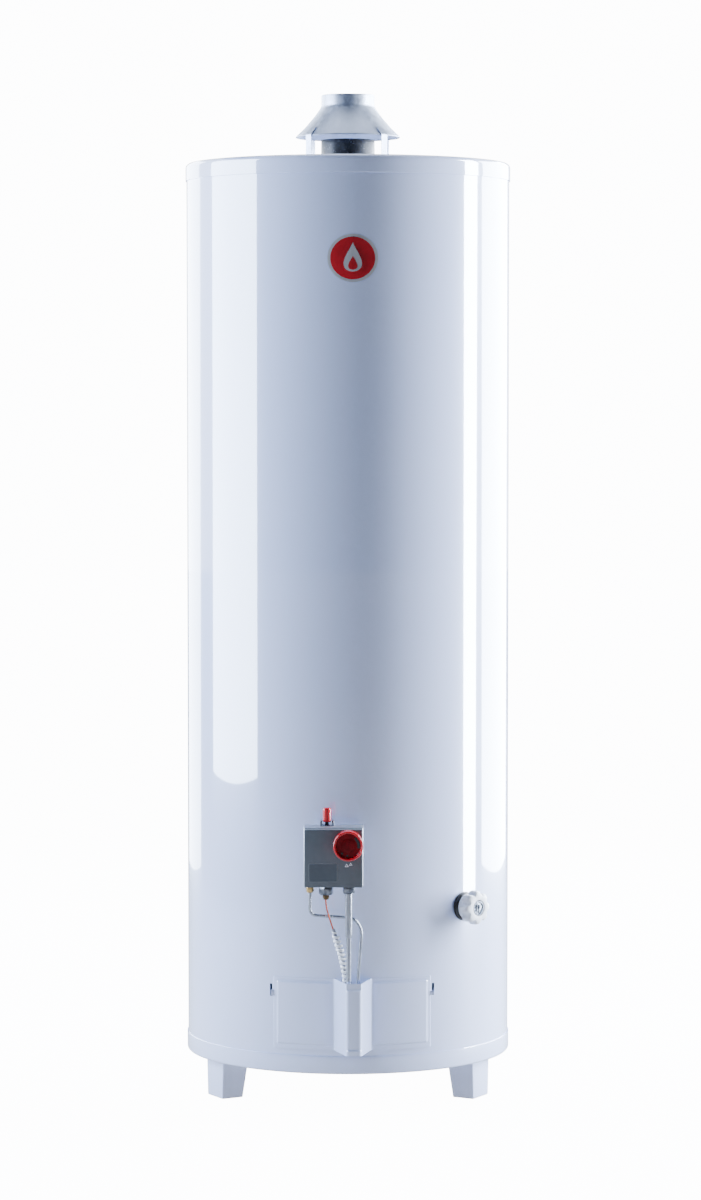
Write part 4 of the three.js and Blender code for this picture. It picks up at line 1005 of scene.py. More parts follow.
def build_hood():
    bm = spin_outline([(BRIM_R - 1.6, BRIM + 0.1), (BRIM_R - 0.7, BRIM), (BRIM_R, BRIM + 0.5),
                       (BRIM_R - 0.3, BRIM + 1.4), (BRIM_R - 1.1, BRIM + 2.4),
                       (61.0, BRIM + 14), (49.4, BRIM + 27.5), (43.6, BRIM + 35), (40.9, BRIM + 39),
                       (39.0, CONE_TOP - 1), (37.9, CONE_TOP + 1), (COLLAR_R, CONE_TOP + 3),
                       (COLLAR_R, HOOD_TOP - 0.6),
                       (COLLAR_R - 0.2, HOOD_TOP - 0.15), (COLLAR_R - 0.5, HOOD_TOP)], 144, closed=False)
    return on_axis(bm)


thicken(settle("hood_skin", build_hood(), galvanised, "heater", ["draught_hood"]), 1 * MM)


def strip_along(points, width, across=4):
    """A flat strip whose middle follows (radius, height) points in the front plane."""
    bm = bmesh.new()
    bmesh.ops.create_grid(bm, x_segments=len(points) - 1, y_segments=across, size=1)
    for vert in bm.verts:
        radius, height = points[round((vert.co.x + 1) / 2 * (len(points) - 1))][:2]
        share = vert.co.y
        end = points[-1]
        near_end = smooth_step(5, 0, math.hypot(radius - end[0], height - end[1]))
        narrow = 1 - 0.35 * near_end
        vert.co = Vector((share * width / 2 * narrow, -radius, height)) * MM
    return bm


def build_leg(azimuth):
    stand = cover_high.z / MM + 0.8
    out = BRIM_R + 1.1
    slope = Vector((-12.5, 13, 0)).normalized()
    lay = Vector((BRIM_R + 0.6, BRIM + 2.2, 0))
    tip = lay + slope * 15
    corners = [(out + 9.5, stand, 0), (out, stand, 0), (out, BRIM + 1.6, 0), tuple(tip)]
    points = [(p.x, p.y) for p in bent_route(corners, 1.8, steps=5)]
    filled = [points[0]]
    for before, after in zip(points, points[1:]):
        cuts = max(1, round(math.dist(before, after) / 2.2))
        filled += [tuple(b + (a - b) * i / cuts for a, b in zip(after, before)) for i in range(1, cuts + 1)]
    return on_axis(turn(strip_along(filled, 10.5), azimuth))


for index in range(4):
    node = f"hood_leg_{index + 1}"
    centre = middle_of(node)
    strip = settle(node + "_strip", build_leg(math.atan2(centre.x, -centre.y)), galvanised, "heater", [node])
    thicken(strip, 1 * MM, offset=0)

# %% [markdown]
# The flue tube is plain black pipe with two notches in its rim for the baffle's ears. It is spun as an
# open sheet with a row at the notches' depth, the faces of each notch are deleted, and the wall is added.

# %% Flue tube
flue_low, flue_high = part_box("flue_tube")


def build_flue():
    low, high = flue_low.z / MM, flue_high.z / MM
    bm = spin_outline([(FLUE_R, low), (FLUE_R, 900), (FLUE_R, high - 60), (FLUE_R, high - 8),
                       (FLUE_R, high - 0.5), (FLUE_R - 0.3, high)], 144, closed=False)
    notch = [f for f in bm.faces if f.calc_center_median().z > (high - 8) * MM
             and abs(f.calc_center_median().y) < 1.6 * MM]
    bmesh.ops.delete(bm, geom=notch, context="FACES")
    return on_axis(bm)


thicken(settle("flue_pipe", build_flue(), scaled_steel, "heater", ["flue_tube"]), 2 * MM)

# %% [markdown]
# Two water nipples come up through coloured plastic rings, blue for cold and red for hot, and the anode's
# hexagon stands behind them. The nipples carry a cut thread, made as a stack of spun V-shaped ridges.

# %% Water nipples, rings and anode head
def build_nipple(node):
    low, high = (v.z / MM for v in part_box(node))
    top_of_cover = cover_high.z / MM
    outline = [(10, low), (12.6, low), (13.2, low + 0.6), (13.2, top_of_cover + 3.2)]
    pitch = 1.8
    for i in range(4):
        start = top_of_cover + 3.6 + i * pitch
        outline += [(12.25, start + 0.3), (12.25, start + 0.5), (13.2, start + 1.3), (13.2, start + 1.5)]
    outline += [(12.4, high - 0.5), (11.9, high), (11.7, high), (11.6, high - 0.1), (11.6, high - 2.6),
                (10, high - 2.6)]
    bm = spin_outline(outline, 72)
    centre = middle_of(node)
    return on_axis(move(bm, (centre.x, centre.y, 0)))


def build_ring(node):
    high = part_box(node)[1].z / MM
    outline = [(13.5, high - 8), (16.5, high - 8), (16.5, high - 3.7), (21.8, high - 3.7), (22.2, high - 3.5),
               (22.5, high - 3.1), *arc(21, high - 1.5, 1.5, 0, 80, 6), (20, high), (14, high),
               (13.7, high - 0.1), (13.5, high - 0.4)]
    centre = middle_of(node)
    return on_axis(move(spin_outline(outline, 72), (centre.x, centre.y, 0)))


for side, plastic, slot in (("cold", blue_plastic, "blue_plastic"), ("hot", red_plastic, "red_plastic")):
    settle(f"{side}_nipple_thread", build_nipple(f"{side}_nipple"), zinc_plate, "heater",
           [f"{side}_nipple"])
    settle(f"{side}_ring", build_ring(f"{side}_collar"), plastic, "heater", [f"{side}_collar"])


def hex_block(across_flats, low, high, chamfer=0.8):
    """A hexagon bar along Z, chamfered at both ends like a turned nut."""
    bm = bmesh.new()
    corner = across_flats / math.sqrt(3)
    made = bmesh.ops.create_circle(bm, cap_ends=True, radius=corner * MM, segments=6)
    bmesh.ops.translate(bm, vec=(0, 0, low * MM), verts=made["verts"])
    face = bm.faces[:][0]
    raised = bmesh.ops.extrude_face_region(bm, geom=[face])
    top = [v for v in raised["geom"] if isinstance(v, bmesh.types.BMVert)]
    bmesh.ops.translate(bm, vec=(0, 0, (high - low) * MM), verts=top)
    bmesh.ops.recalc_face_normals(bm, faces=bm.faces)
    upright = [e for e in bm.edges if abs(e.verts[0].co.z - e.verts[1].co.z) > 1e-6]
    bmesh.ops.bevel(bm, geom=upright, offset=0.5 * MM, segments=3, profile=0.5, affect="EDGES", material=-1)
    rims = [e for e in bm.edges if abs(e.verts[0].co.z - e.verts[1].co.z) < 1e-6]
    bmesh.ops.bevel(bm, geom=rims, offset=chamfer * MM, segments=3, profile=0.5, affect="EDGES", material=-1)
    return bm


anode_low, anode_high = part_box("anode_rod")
anode_bar = spin_outline([(0, anode_low.z / MM), (9.4, anode_low.z / MM), (10, anode_low.z / MM + 1),
                          (10, anode_high.z / MM - 60), (13.2, anode_high.z / MM - 59),
                          (13.2, anode_high.z / MM - 12), (0, anode_high.z / MM - 12)], 48)
join(anode_bar, hex_block(27, anode_high.z / MM - 12, anode_high.z / MM, chamfer=1.2))
anode_spot = middle_of("anode_rod")
settle("anode_with_head", on_axis(move(anode_bar, (anode_spot.x, anode_spot.y, 0))), magnesium, "heater",
       ["anode_rod"])

# %% [markdown]
# The gas valve is a cast aluminium body with a flat painted cover in front of it. The body is a bevelled
# block with a threaded gas inlet in its left side and a round neck into the tank. The cover is a thinner
# block with a foil label and two printed triangles that point at the knob.

# %% Valve body and cover
cover_box = [(v - AXIS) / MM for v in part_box("valve_cover")]
body_box = [(v - AXIS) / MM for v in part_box("valve_body")]
COVER_FACE = cover_box[0].y
BODY_FACE = COVER_FACE + 14.3
BODY_BACK = -(CASING_R / MM + 23)
INLET_Y = (BODY_FACE + BODY_BACK) / 2


def sunk_port(bm, y, z, radius, depth):
    """Opens a round port in the block's left face: a disc is cut in, pushed inward and rounded."""
    face = min(bm.faces, key=lambda f: f.calc_center_median().x)
    ring = bmesh.ops.inset_region(bm, faces=[face], thickness=1.5 * MM, use_even_offset=True)
    inner = min((f for f in bm.faces if f not in ring["faces"]), key=lambda f: f.calc_center_median().x)
    edges = inner.edges[:]
    bmesh.ops.subdivide_edges(bm, edges=edges, cuts=11, use_grid_fill=False)
    inner = min((f for f in bm.faces if len(f.verts) > 20), key=lambda f: f.calc_center_median().x)
    grown = bmesh.ops.inset_region(bm, faces=[inner], thickness=3 * MM, use_even_offset=True)
    inner = next(f for f in bm.faces if len(f.verts) > 20 and f not in grown["faces"])
    for vert in inner.verts:
        flat = Vector((0, vert.co.y - y * MM, vert.co.z - z * MM)).normalized() * radius * MM
        vert.co = Vector((vert.co.x, y * MM + flat.y, z * MM + flat.z))
    deeper = bmesh.ops.extrude_face_region(bm, geom=[inner])
    pushed = [v for v in deeper["geom"] if isinstance(v, bmesh.types.BMVert)]
    bmesh.ops.delete(bm, geom=[inner], context="FACES_ONLY")
    bmesh.ops.translate(bm, vec=(depth * MM, 0, 0), verts=pushed)


def build_valve_body():
    low, high = body_box
    bm = block((low.x, BODY_FACE, low.z), (high.x, BODY_BACK, high.z), bevel=1.4, segments=4)
    sunk_port(bm, INLET_Y, (low.z + high.z) / 2, 9, 18)
    neck = spin_outline([(5.8, 194), (13.7, 194), (13.7, 209), (15, 210), (15, 246), (16.2, 247.5),
                         (17.5, 250), (18.2, 253.5), (5.8, 253.5)], 64)
    join(bm, face_front_plain(neck, (low.z + high.z) / 2))
    return on_axis(bm)


def build_valve_cover():
    low, high = cover_box
    return on_axis(block(low, high, bevel=0.9, segments=4))


LABEL_MIDDLE = ((cover_box[0].x + cover_box[1].x) / 2 - 14.1, (cover_box[0].z + cover_box[1].z) / 2 - 19.3)


def build_label(grow, rise):
    x, z = LABEL_MIDDLE
    half_x, half_z = 18.7 + grow, 12 + grow
    low = (x - half_x, COVER_FACE - rise, z - half_z)
    high = (x + half_x, COVER_FACE + 0.1, z + half_z)
    return on_axis(block(low, high, bevel=0.08, segments=1))


settle("valve_casting", build_valve_body(), cast_aluminium, "heater", ["valve_body"])
settle("valve_cover_plate", build_valve_cover(), cover_paint, "heater", ["valve_cover"])
settle("label_frame", build_label(0.5, 0.12), label_edge, "heater")
settle("label", build_label(0, 0.2), label_foil, "heater")

# %% [markdown]
# Two small printed triangles stand under the knob, as outlines. Each is a three-sided ring: a circle of
# three points, inset, with the middle deleted and the ring given a print's thickness.

# %% Pointer marks
KNOB = (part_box("temperature_knob")[0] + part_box("temperature_knob")[1]) / 2 / MM - AXIS / MM


def build_mark(x, z, radius):
    bm = bmesh.new()
    bmesh.ops.create_circle(bm, cap_ends=True, radius=radius * MM, segments=3)
    middle = bm.faces[:]
    bmesh.ops.inset_region(bm, faces=middle, thickness=0.75 * MM, use_boundary=True, use_even_offset=True)
    bmesh.ops.delete(bm, geom=middle, context="FACES")
    raised = bmesh.ops.extrude_face_region(bm, geom=bm.faces[:])
    lifted = [v for v in raised["geom"] if isinstance(v, bmesh.types.BMVert)]
    bmesh.ops.translate(bm, vec=(0, 0, 0.2 * MM), verts=lifted)
    move(bm, (0, 0, (-COVER_FACE - 0.05) * MM))
    return on_axis(face_front_plain(bm, z, x))


for which, x, z, radius in (("near", -2.2, -29, 3.1), ("far", 3.2, -27.2, 2.7)):
    settle(f"pointer_mark_{which}", build_mark(KNOB.x + x, KNOB.z + z, radius), pale_mark, "heater")

# %% [markdown]
# The knob is a moulded cup: a rounded grip rim with fine ribs round its side, and a sunk dial with a raised
# crescent and a low centre boss. The crescent is coloured black as painted shadow: it stands where the rim's
# shadow falls on the dial. The rim is spun and its side points are waved in and out.

# %% Temperature knob
KNOB_BACK = CASING_R / MM + 75.5
KNOB_FRONT = KNOB_BACK + 22
RIBS = 30


def build_knob():
    outline = [(0, KNOB_BACK - 11), (3.7, KNOB_BACK - 11), (4, KNOB_BACK - 10.6), (4, KNOB_BACK),
               (18.6, KNOB_BACK), (19.4, KNOB_BACK + 0.2), (19.9, KNOB_BACK + 0.8),
               (20.2, KNOB_BACK + 3), (20.3, KNOB_BACK + 10),
               (20.2, KNOB_FRONT - 3.4), *arc(18.6, KNOB_FRONT - 1.7, 1.7, 10, 160, 10),
               (16.7, KNOB_FRONT - 2.2), (16.5, KNOB_FRONT - 4.9), (15.9, KNOB_FRONT - 5.5),
               (0, KNOB_FRONT - 5.5)]
    bm = spin_outline(outline, 180)
    for vert in bm.verts:
        radius = math.hypot(vert.co.x, vert.co.y) / MM
        if radius > 20.15:
            wave = 1 - 0.010 * (1 - math.cos(RIBS * math.atan2(vert.co.y, vert.co.x)))
            vert.co.x *= wave
            vert.co.y *= wave
    return on_axis(face_front_plain(bm, KNOB.z, KNOB.x))


def build_shadow_crescent():
    """A raised crescent along the dial's edge, a small rectangle swept round a sixth of a turn; it is black as
    painted shadow of the rim.
    """
    bm = bmesh.new()
    bmesh.ops.create_grid(bm, x_segments=1, y_segments=1, size=1)
    for vert in bm.verts:
        vert.co = Vector((0, 13.9 + 1.7 * vert.co.x, KNOB_FRONT - 4.6 + 0.5 * vert.co.y)) * MM
    bmesh.ops.spin(bm, geom=bm.verts[:] + bm.edges[:] + bm.faces[:], cent=(0, 0, 0), axis=(0, 0, 1),
                   angle=math.radians(-62), steps=24)
    turn(bm, math.radians(-40))
    return on_axis(face_front_plain(bm, KNOB.z, KNOB.x))


def build_dial():
    bm = spin_outline([(0, KNOB_FRONT - 5.6), (16.4, KNOB_FRONT - 5.6), (16.4, KNOB_FRONT - 5),
                       (9.6, KNOB_FRONT - 5), (9.1, KNOB_FRONT - 4.6), (8.6, KNOB_FRONT - 4.5),
                       (0, KNOB_FRONT - 4.4)], 90)
    return on_axis(face_front_plain(bm, KNOB.z, KNOB.x))


def build_dot(x, z, radius):
    bm = spin_outline([(0, KNOB_FRONT - 5), (radius, KNOB_FRONT - 5), (radius, KNOB_FRONT - 4.7),
                       (0, KNOB_FRONT - 4.6)], 24)
    move(bm, (x * MM, z * MM, 0))
    return on_axis(face_front_plain(bm, KNOB.z, KNOB.x))


settle("knob_shell", build_knob(), red_plastic, "temperature_knob", ["temperature_knob"])
settle("knob_dial", build_dial(), dark_red, "temperature_knob")
# painted shadow: the black crescent stands for the shadow of the rim on the dial
settle("knob_shadow_crescent", build_shadow_crescent(), black_plastic, "temperature_knob")
for which, x, z, radius in (("near", -8.2, -10.2, 1.5), ("far", -1.4, -13.2, 1.3)):
    settle(f"knob_dot_{which}", build_dot(x, z, radius), black_plastic, "temperature_knob")

# %% [markdown]
# The pilot button slides down through a small folded bracket. Its cap is a spun red cylinder with a rounded top
# and a grip groove, on a thin dark stem. The bracket is a plate with an upright block on each side of the stem.

# %% Pilot button and bracket
button_low, button_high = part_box("pilot_button")
bracket_low, bracket_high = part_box("button_bracket")
button_spot = middle_of("pilot_button") / MM


def build_button_cap():
    top = button_high.z / MM
    bottom = top - 19
    outline = [(0, bottom), (5.3, bottom), (5.8, bottom + 0.5), (5.8, bottom + 2.5), (5.55, bottom + 2.8),
               (5.55, bottom + 3.2), (5.8, bottom + 3.5), (5.8, top - 2.2),
               *arc(4.0, top - 1.8, 1.8, 5, 90, 8),
               (0, top)]
    return on_axis(move(spin_outline(outline, 64), Vector((button_spot.x, button_spot.y, 0)) * MM))


def build_button_stem():
    low, high = button_low.z / MM, button_high.z / MM - 18.8
    bm = spin_outline([(0, low), (2.2, low), (2.6, low + 0.4), (2.6, high), (0, high)], 40)
    return on_axis(move(bm, Vector((button_spot.x, button_spot.y, 0)) * MM))


def build_bracket():
    low, high = bracket_low / MM - AXIS / MM, bracket_high / MM - AXIS / MM
    middle = (low.x + high.x) / 2
    bm = block((low.x, low.y, low.z), (low.x + 3.4, high.y, high.z), bevel=0.5, segments=3)
    join(bm, block((high.x - 3.4, low.y, low.z), (high.x, high.y, high.z), bevel=0.5, segments=3))
    for side in (-1, 1):
        join(bm, block((middle + min(side * 3.2, side * 6.4), low.y, low.z),
                       (middle + max(side * 3.2, side * 6.4), high.y, low.z + 0.6), bevel=0.15, segments=2))
    for y0, y1 in ((low.y, low.y + 4), (high.y - 4, high.y)):
        join(bm, block((middle - 3.3, y0, low.z), (middle + 3.3, y1, low.z + 0.6), bevel=0.15, segments=2))
    return on_axis(bm)


settle("pilot_button_cap", build_button_cap(), red_plastic, "pilot_button", ["pilot_button"])
settle("pilot_button_stem", build_button_stem(), black_plastic, "pilot_button")
settle("button_bracket_posts", build_bracket(), drawn_aluminium, "heater", ["button_bracket"])

# %% [markdown]
# Under the valve hang three hexagon fittings and the small collar of the thermocouple. They are turned
# from bar, so the hexagons have chamfered rims and a washer face.

# %% Fittings under the valve
TUBE_Y = -(CASING_R / MM + 34)
VALVE_LOW = body_box[0].z


def build_fitting(node, across_flats, bore_end, swing):
    low, high = (v.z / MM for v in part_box(node))
    spot = middle_of(node) / MM
    bm = hex_block(across_flats, low + 1.2, high - 0.9, chamfer=0.9)
    join(bm, spin_outline([(bore_end, low), (across_flats * 0.42, low), (across_flats * 0.46, low + 0.4),
                           (across_flats * 0.46, low + 1.4), (bore_end, low + 1.4)], 48))
    join(bm, spin_outline([(0, high - 1), (across_flats * 0.47, high - 1), (across_flats * 0.47, high),
                           (0, high)], 48))
    turn(bm, math.radians(swing))
    return on_axis(move(bm, Vector((spot.x, spot.y, 0)) * MM))


settle("main_fitting", build_fitting("main_nut", 15.5, 5.2, 6), zinc_plate, "heater", ["main_nut"])
settle("pilot_fitting", build_fitting("pilot_nut", 9.5, 3, 24), brass, "heater", ["pilot_nut"])
settle("thermocouple_fitting", build_fitting("thermocouple_nut", 18, 1.4, -9), zinc_plate, "heater",
       ["thermocouple_nut"])

collar_low, collar_high = (v.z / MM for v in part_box("thermocouple_collar"))
lead_spot = middle_of("thermocouple_collar") / MM
lead_collar = spin_outline([(1.5, collar_low), (3.4, collar_low), (3.8, collar_low + 0.4),
                            (3.8, collar_low + 2), (4.5, collar_low + 2.6), (4.5, collar_high - 0.5),
                            (4.1, collar_high), (1.5, collar_high)], 48)
settle("thermocouple_lead_collar", on_axis(move(lead_collar, Vector((lead_spot.x, lead_spot.y, 0)) * MM)),
       dark_brass, "heater", ["thermocouple_collar"])

# %% [markdown]
# The tubes follow the same routes as in the CAD. The main tube has a wide upper part that is swaged down
# to a narrow one; the pilot tube drops, crosses behind it and goes down into the snout.

# %% Burner and pilot tubes
SNOUT_X = CASING_R / MM * math.sin(FRONT_TURN)
ENTRY_Z = DOOR_TOP + 2
TURN_Z = DOOR_LOW + 22
BURNER_FRONT = -120
MAIN_X = middle_of("main_nut").x / MM
PILOT_X = middle_of("pilot_nut").x / MM
LEAD_X = lead_spot.x
SWAGE = VALVE_LOW - 73
TUBE_START = VALVE_LOW - 1.3


def on_tank(corners):
    return [Vector(c) * MM + AXIS for c in corners]


main_points = bent_route(on_tank([(MAIN_X, TUBE_Y, SWAGE + 3), (MAIN_X, TUBE_Y, TURN_Z),
                                  (MAIN_X, BURNER_FRONT - 6, TURN_Z)]), 16 * MM, steps=14)
tube_along("main_tube_lower", main_points, 3.4 * MM, drawn_aluminium, "heater", ["main_burner_tube"],
           round_steps=10)
upper = spin_outline([(0, SWAGE - 0.5), (3.5, SWAGE - 0.5), (3.9, SWAGE - 0.1), (4.6, SWAGE + 1.4),
                      (4.95, SWAGE + 3.2), (5, SWAGE + 5), (5, TUBE_START - 8), (5, TUBE_START),
                      (0, TUBE_START)], 64)
settle("main_tube_upper", on_axis(move(upper, Vector((MAIN_X, TUBE_Y, 0)) * MM)), drawn_aluminium, "heater")

BEHIND = TUBE_Y + 5 + 2.8 + 2.5
CROSSING = VALVE_LOW - 44
SNOUT_SIDE = SNOUT_X + 7
PILOT_END_X = MAIN_X + 20
PILOT_END_Z = middle_of("pilot_burner").z / MM - 10
pilot_points = bent_route(on_tank([
    (PILOT_X, TUBE_Y, TUBE_START), (PILOT_X, TUBE_Y, CROSSING + 2), (MAIN_X - 12, BEHIND, CROSSING - 2),
    (MAIN_X + 8, BEHIND, CROSSING - 4), (MAIN_X + 18, BEHIND + 1, CROSSING - 20),
    (SNOUT_SIDE, BEHIND + 1, ENTRY_Z), (SNOUT_SIDE, BEHIND + 1, TURN_Z + 14),
    (PILOT_END_X, BURNER_FRONT + 18, TURN_Z + 14), (PILOT_END_X, BURNER_FRONT + 18, PILOT_END_Z)]),
    10 * MM, steps=10)
tube_along("pilot_gas_tube", pilot_points, 2.2 * MM, drawn_aluminium, "heater", ["pilot_tube"],
           round_steps=8)

# %% [markdown]
# The thermocouple lead is a thin copper tube, and for part of its way it wears a wound white sleeve. The
# sleeve is made the way it is made in life: one soft strand wound round and round the lead over a thinner
# core, a little uneven from turn to turn, and drawn tight at its upper end.

# %% Thermocouple lead and its wound sleeve
tip_spot = middle_of("thermocouple_tip") / MM
tip_low = (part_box("thermocouple_tip")[0].z) / MM
lead_knots = on_tank([
    (LEAD_X, TUBE_Y, TUBE_START - 12), (LEAD_X, TUBE_Y, VALVE_LOW - 28), (LEAD_X + 4, TUBE_Y, VALVE_LOW - 44),
    (LEAD_X + 9, TUBE_Y + 1, VALVE_LOW - 60), (LEAD_X + 17, TUBE_Y + 4, VALVE_LOW - 84),
    (SNOUT_X - 14, TUBE_Y + 9, ENTRY_Z + 28), (SNOUT_X - 9.5, TUBE_Y + 12, ENTRY_Z),
    (SNOUT_X - 9.5, TUBE_Y + 14, TURN_Z + 36), (SNOUT_X - 8, TUBE_Y + 24, TURN_Z + 18),
    (SNOUT_X - 6, TUBE_Y + 50, TURN_Z + 14), (tip_spot.x, BURNER_FRONT + 6, TURN_Z + 16),
    (tip_spot.x, BURNER_FRONT + 16, tip_low - 0.8)])
lead_route = through_points(lead_knots, steps=12)
tube_along("thermocouple_wire", lead_route, 1.1 * MM, copper, "heater", ["thermocouple_lead"],
           round_steps=6)


def share_of_route(route, start, end, count):
    """Evenly spaced points between two shares of a route's length."""
    lengths = [0]
    for a, b in zip(route, route[1:]):
        lengths.append(lengths[-1] + (b - a).length)
    points = []
    for i in range(count + 1):
        want = lengths[-1] * (start + (end - start) * i / count)
        k = next((k for k in range(1, len(lengths)) if lengths[k] >= want), len(lengths) - 1)
        part = (want - lengths[k - 1]) / (lengths[k] - lengths[k - 1])
        points.append(route[k - 1].lerp(route[k], part))
    return points


SLEEVE_FROM, SLEEVE_TO = 0.15, 0.52
TURN_PITCH = 6.6 * MM
STEPS_PER_TURN = 18
sleeve_core = share_of_route(lead_route, SLEEVE_FROM, SLEEVE_TO, 60)
sleeve_length = sum((b - a).length for a, b in zip(sleeve_core, sleeve_core[1:]))
turns = round(sleeve_length / TURN_PITCH)
winding_line = share_of_route(lead_route, SLEEVE_FROM, SLEEVE_TO, turns * STEPS_PER_TURN)
chance = random.Random(7)
wobble = [chance.uniform(-0.35, 0.35) for _ in range(turns + 2)]
winding, strand = [], []
for index, point in enumerate(winding_line):
    ahead = winding_line[min(index + 1, len(winding_line) - 1)]
    behind = winding_line[max(index - 1, 0)]
    along = (ahead - behind).normalized()
    side = along.cross(Vector((0, 1, 0))).normalized()
    front = side.cross(along).normalized()
    turn_share = index / STEPS_PER_TURN
    uneven = wobble[int(turn_share)] * (1 - turn_share % 1) + wobble[int(turn_share) + 1] * (turn_share % 1)
    tight = smooth_step(0, 0.12, index / len(winding_line))
    reach = (1.5 + 1.9 * tight + uneven * 0.8) * MM
    swing = 2 * math.pi * turn_share
    winding.append(point + side * math.cos(swing) * reach + front * math.sin(swing) * reach)
    strand.append(0.62 + 0.38 * tight + uneven * 0.12)
tube_along("sleeve_winding", winding, 1.9 * MM, yarn, "heater", ["lead_sleeve"],
           round_steps=4, swell=strand)
tube_along("sleeve_core", sleeve_core, 2.4 * MM, yarn_core_painted_shade, "heater", round_steps=6)
print(f"sleeve: {turns} turns over {sleeve_length / MM:.0f} mm")

# %% [markdown]
# The drain valve is moulded: a collar against the casing, a tapered hub, and a lobed wheel that draws the slotted
# metal plug off its seat. The collar is coloured black as painted shade, for the shade under the wheel, and a
# black ring behind it is painted shadow in the gap round the hole in the casing. The wheel's side points are waved
# in and out to make the eight lobes.

# %% Drain collar and wheel
WHEEL_FRONT = CASING_R / MM + 29
WHEEL_BACK = WHEEL_FRONT - 16
WHEEL_R = 23.4
LOBES = 8
drain_height = DRAIN_Z * MM


def build_drain_body():
    collar = CASING_R / MM
    outline = [(5.2, 192), (11.7, 192), (11.7, collar - 0.4), (17.2, collar - 0.4), (18.6, collar + 0.2),
               (19, collar + 1), (19, collar + 2.6), (18.4, collar + 3.6), (17, collar + 4.4),
               (8, collar + 4.6), (8, WHEEL_FRONT - 6), (5.2, WHEEL_FRONT - 6)]
    return face_front(spin_outline(outline, 96), DRAIN_TURN, drain_height)


def build_gap_shadow_ring():
    collar = CASING_R / MM
    outline = [(12, collar - 1), (19.3, collar - 1), (19.8, collar - 0.6), (19.8, collar + 0.5),
               (19.2, collar + 0.9), (12, collar + 0.9)]
    return face_front(spin_outline(outline, 96), DRAIN_TURN, drain_height)


def build_wheel():
    outline = [(8.5, CASING_R / MM + 5.2), (16.6, CASING_R / MM + 5.2), (17.4, CASING_R / MM + 6),
               (17.0, WHEEL_BACK), (18, WHEEL_BACK + 0.2), (WHEEL_R - 1.6, WHEEL_BACK + 0.4),
               (WHEEL_R - 0.5, WHEEL_BACK + 1), (WHEEL_R, WHEEL_BACK + 2.4), (WHEEL_R, WHEEL_FRONT - 5),
               (WHEEL_R - 0.4, WHEEL_FRONT - 3.2), (WHEEL_R - 1.4, WHEEL_FRONT - 1.8),
               (WHEEL_R - 3, WHEEL_FRONT - 0.8), (WHEEL_R - 6, WHEEL_FRONT - 0.2), (12.6, WHEEL_FRONT),
               (11.3, WHEEL_FRONT - 0.2), (10.9, WHEEL_FRONT - 0.8), (10.9, WHEEL_FRONT - 4),
               (8.5, WHEEL_FRONT - 4)]
    bm = spin_outline(outline, 256)
    for vert in bm.verts:
        radius = math.hypot(vert.co.x, vert.co.y) / MM
        valley = (1 - math.cos(LOBES * math.atan2(vert.co.y, vert.co.x))) / 2
        depth = smooth_step(17.4, WHEEL_R - 1, radius) * 4.2 * valley ** 2.2
        scale = (radius - depth) / radius if radius else 1
        vert.co.x *= scale
        vert.co.y *= scale
    return face_front(bm, DRAIN_TURN, drain_height)


# painted shade: the white moulded collar is coloured black for the shade under the wheel
settle("drain_collar", build_drain_body(), black_plastic, "heater", ["drain_valve_body"])
# painted shadow: a black ring standing for the shadow in the gap round the casing's hole
settle("drain_gap_shadow", build_gap_shadow_ring(), black_plastic, "heater")
settle("drain_wheel", build_wheel(), white_plastic, "drain_handwheel", ["drain_handwheel"])

# %% [markdown]
# The plug is a turned metal rod with a ring groove round a raised middle, and a screwdriver slot. The
# slot is cut from the flat face: four planes divide it, and the middle piece is pushed down.

# %% Drain plug
def build_plug():
    face = WHEEL_FRONT - 0.4
    outline = [(0, 196), (4.3, 196), (4.7, 196.5), (4.7, WHEEL_FRONT - 3.5), (10.3, WHEEL_FRONT - 3.5),
               (10.3, face - 0.5), (9.9, face), (8.2, face), (7.9, face - 0.3), (7.6, face - 1.3),
               (6.6, face - 1.3), (6.3, face - 0.5), (6.0, face - 0.3)]
    bm = spin_outline(outline, 96, closed=False)
    disc = bmesh.new()
    bmesh.ops.create_circle(disc, cap_ends=True, radius=6.0 * MM, segments=96)
    move(disc, (0, 0, (face - 0.3) * MM))
    for place, way in (((1.3, 0, 0), (1, 0, 0)), ((-1.3, 0, 0), (1, 0, 0)),
                       ((0, 4.4, 0), (0, 1, 0)), ((0, -4.4, 0), (0, 1, 0))):
        bmesh.ops.bisect_plane(disc, geom=disc.verts[:] + disc.edges[:] + disc.faces[:], dist=1e-7,
                               plane_co=Vector(place) * MM, plane_no=way)
    middle = min(disc.faces, key=lambda f: f.calc_center_median().xy.length)
    sunk = bmesh.ops.extrude_face_region(disc, geom=[middle])
    pushed = [v for v in sunk["geom"] if isinstance(v, bmesh.types.BMVert)]
    bmesh.ops.delete(disc, geom=[middle], context="FACES_ONLY")
    bmesh.ops.translate(disc, vec=(0, 0, -2.2 * MM), verts=pushed)
    join(bm, disc)
    return face_front(bm, DRAIN_TURN, drain_height)


settle("drain_plug", build_plug(), zinc_plate, "drain_stem", ["drain_stem"])

# %% [markdown]
# The badge is a domed red oval in a silver rim with a plain flame in the middle. Its parts are built flat
# and then bent round the casing: a point's sideways distance becomes an angle, its thickness a radius.

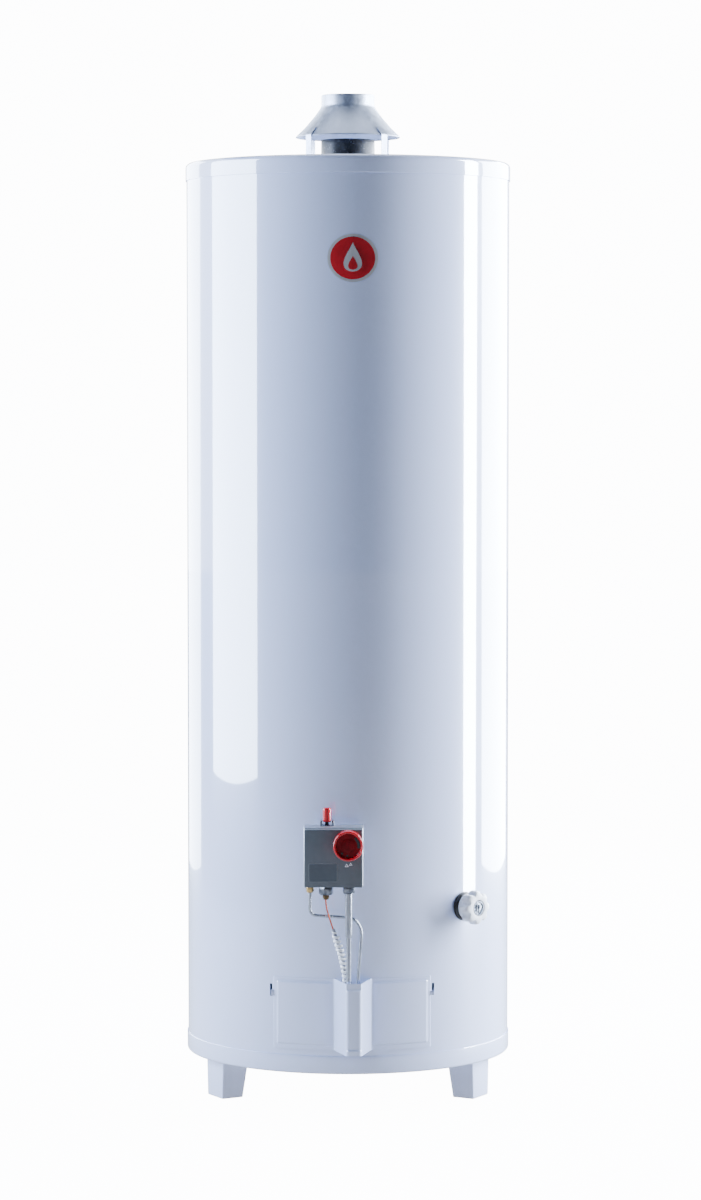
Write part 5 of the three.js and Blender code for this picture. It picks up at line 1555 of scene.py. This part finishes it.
# %% Badge
badge_centre = middle_of("badge")
BADGE_HALF = (34.6, 32.6)
BADGE_BACK = JACKET_R / MM + 0.3


def bend_on_casing(bm, lift=0.0):
    """Bends a flat piece (x sideways, y up, z off the wall) round the front of the casing."""
    for vert in bm.verts:
        reach = BADGE_BACK * MM + vert.co.z + lift * MM
        swing = FRONT_TURN + vert.co.x / JACKET_R
        vert.co = Vector((math.sin(swing) * reach, -math.cos(swing) * reach, badge_centre.z + vert.co.y))
    return on_axis(bm)


def oval(outline, steps=120):
    """A spun outline squeezed into an oval; the outline's radius 1 lies on the badge's edge."""
    bm = spin_outline(outline, steps)
    bmesh.ops.scale(bm, vec=(BADGE_HALF[0], BADGE_HALF[1], 1), verts=bm.verts)
    return bm


def flame(half_width, height, thickness, sink=0.0):
    """A drop with a drawn-out tip: a flat grid whose rows are scaled copies of the drop's outline."""
    bm = bmesh.new()
    around, rings = 72, 7
    bmesh.ops.create_grid(bm, x_segments=around, y_segments=rings, size=1)
    for vert in bm.verts:
        t = (vert.co.x + 1) / 2 * 2 * math.pi
        share = (vert.co.y + 1) / 2
        size = min(share * (rings / (rings - 1)), 1)
        x = math.sin(t) * math.sin(t / 2) ** 1.7 * half_width * 1.35
        y = math.cos(t) * height / 2
        rise = thickness if share < 1 else 0
        vert.co = Vector((x * size * MM, (y * size + sink) * MM, rise * MM))
    return bm


settle("badge_rim", bend_on_casing(oval([(0.885, 0), (1, 0), (1, 0.0009), (0.992, 0.0013), (0.975, 0.0015),
                                         (0.915, 0.0015), (0.897, 0.0012), (0.885, 0.0007)])),
       badge_silver, "heater", ["badge"])
settle("badge_field", bend_on_casing(oval([(0, 0.0001), (0.89, 0.0001), (0.89, 0.0009), (0.7, 0.00105),
                                           (0.45, 0.00115), (0.2, 0.0012), (0, 0.0012)])),
       badge_red, "heater")
settle("badge_flame", bend_on_casing(flame(13.5, 40, 0.6, 1.5), lift=1.0), badge_silver, "heater")
settle("badge_flame_heart", bend_on_casing(flame(6.8, 19, 0.4, -6.5), lift=1.45), badge_red, "heater")
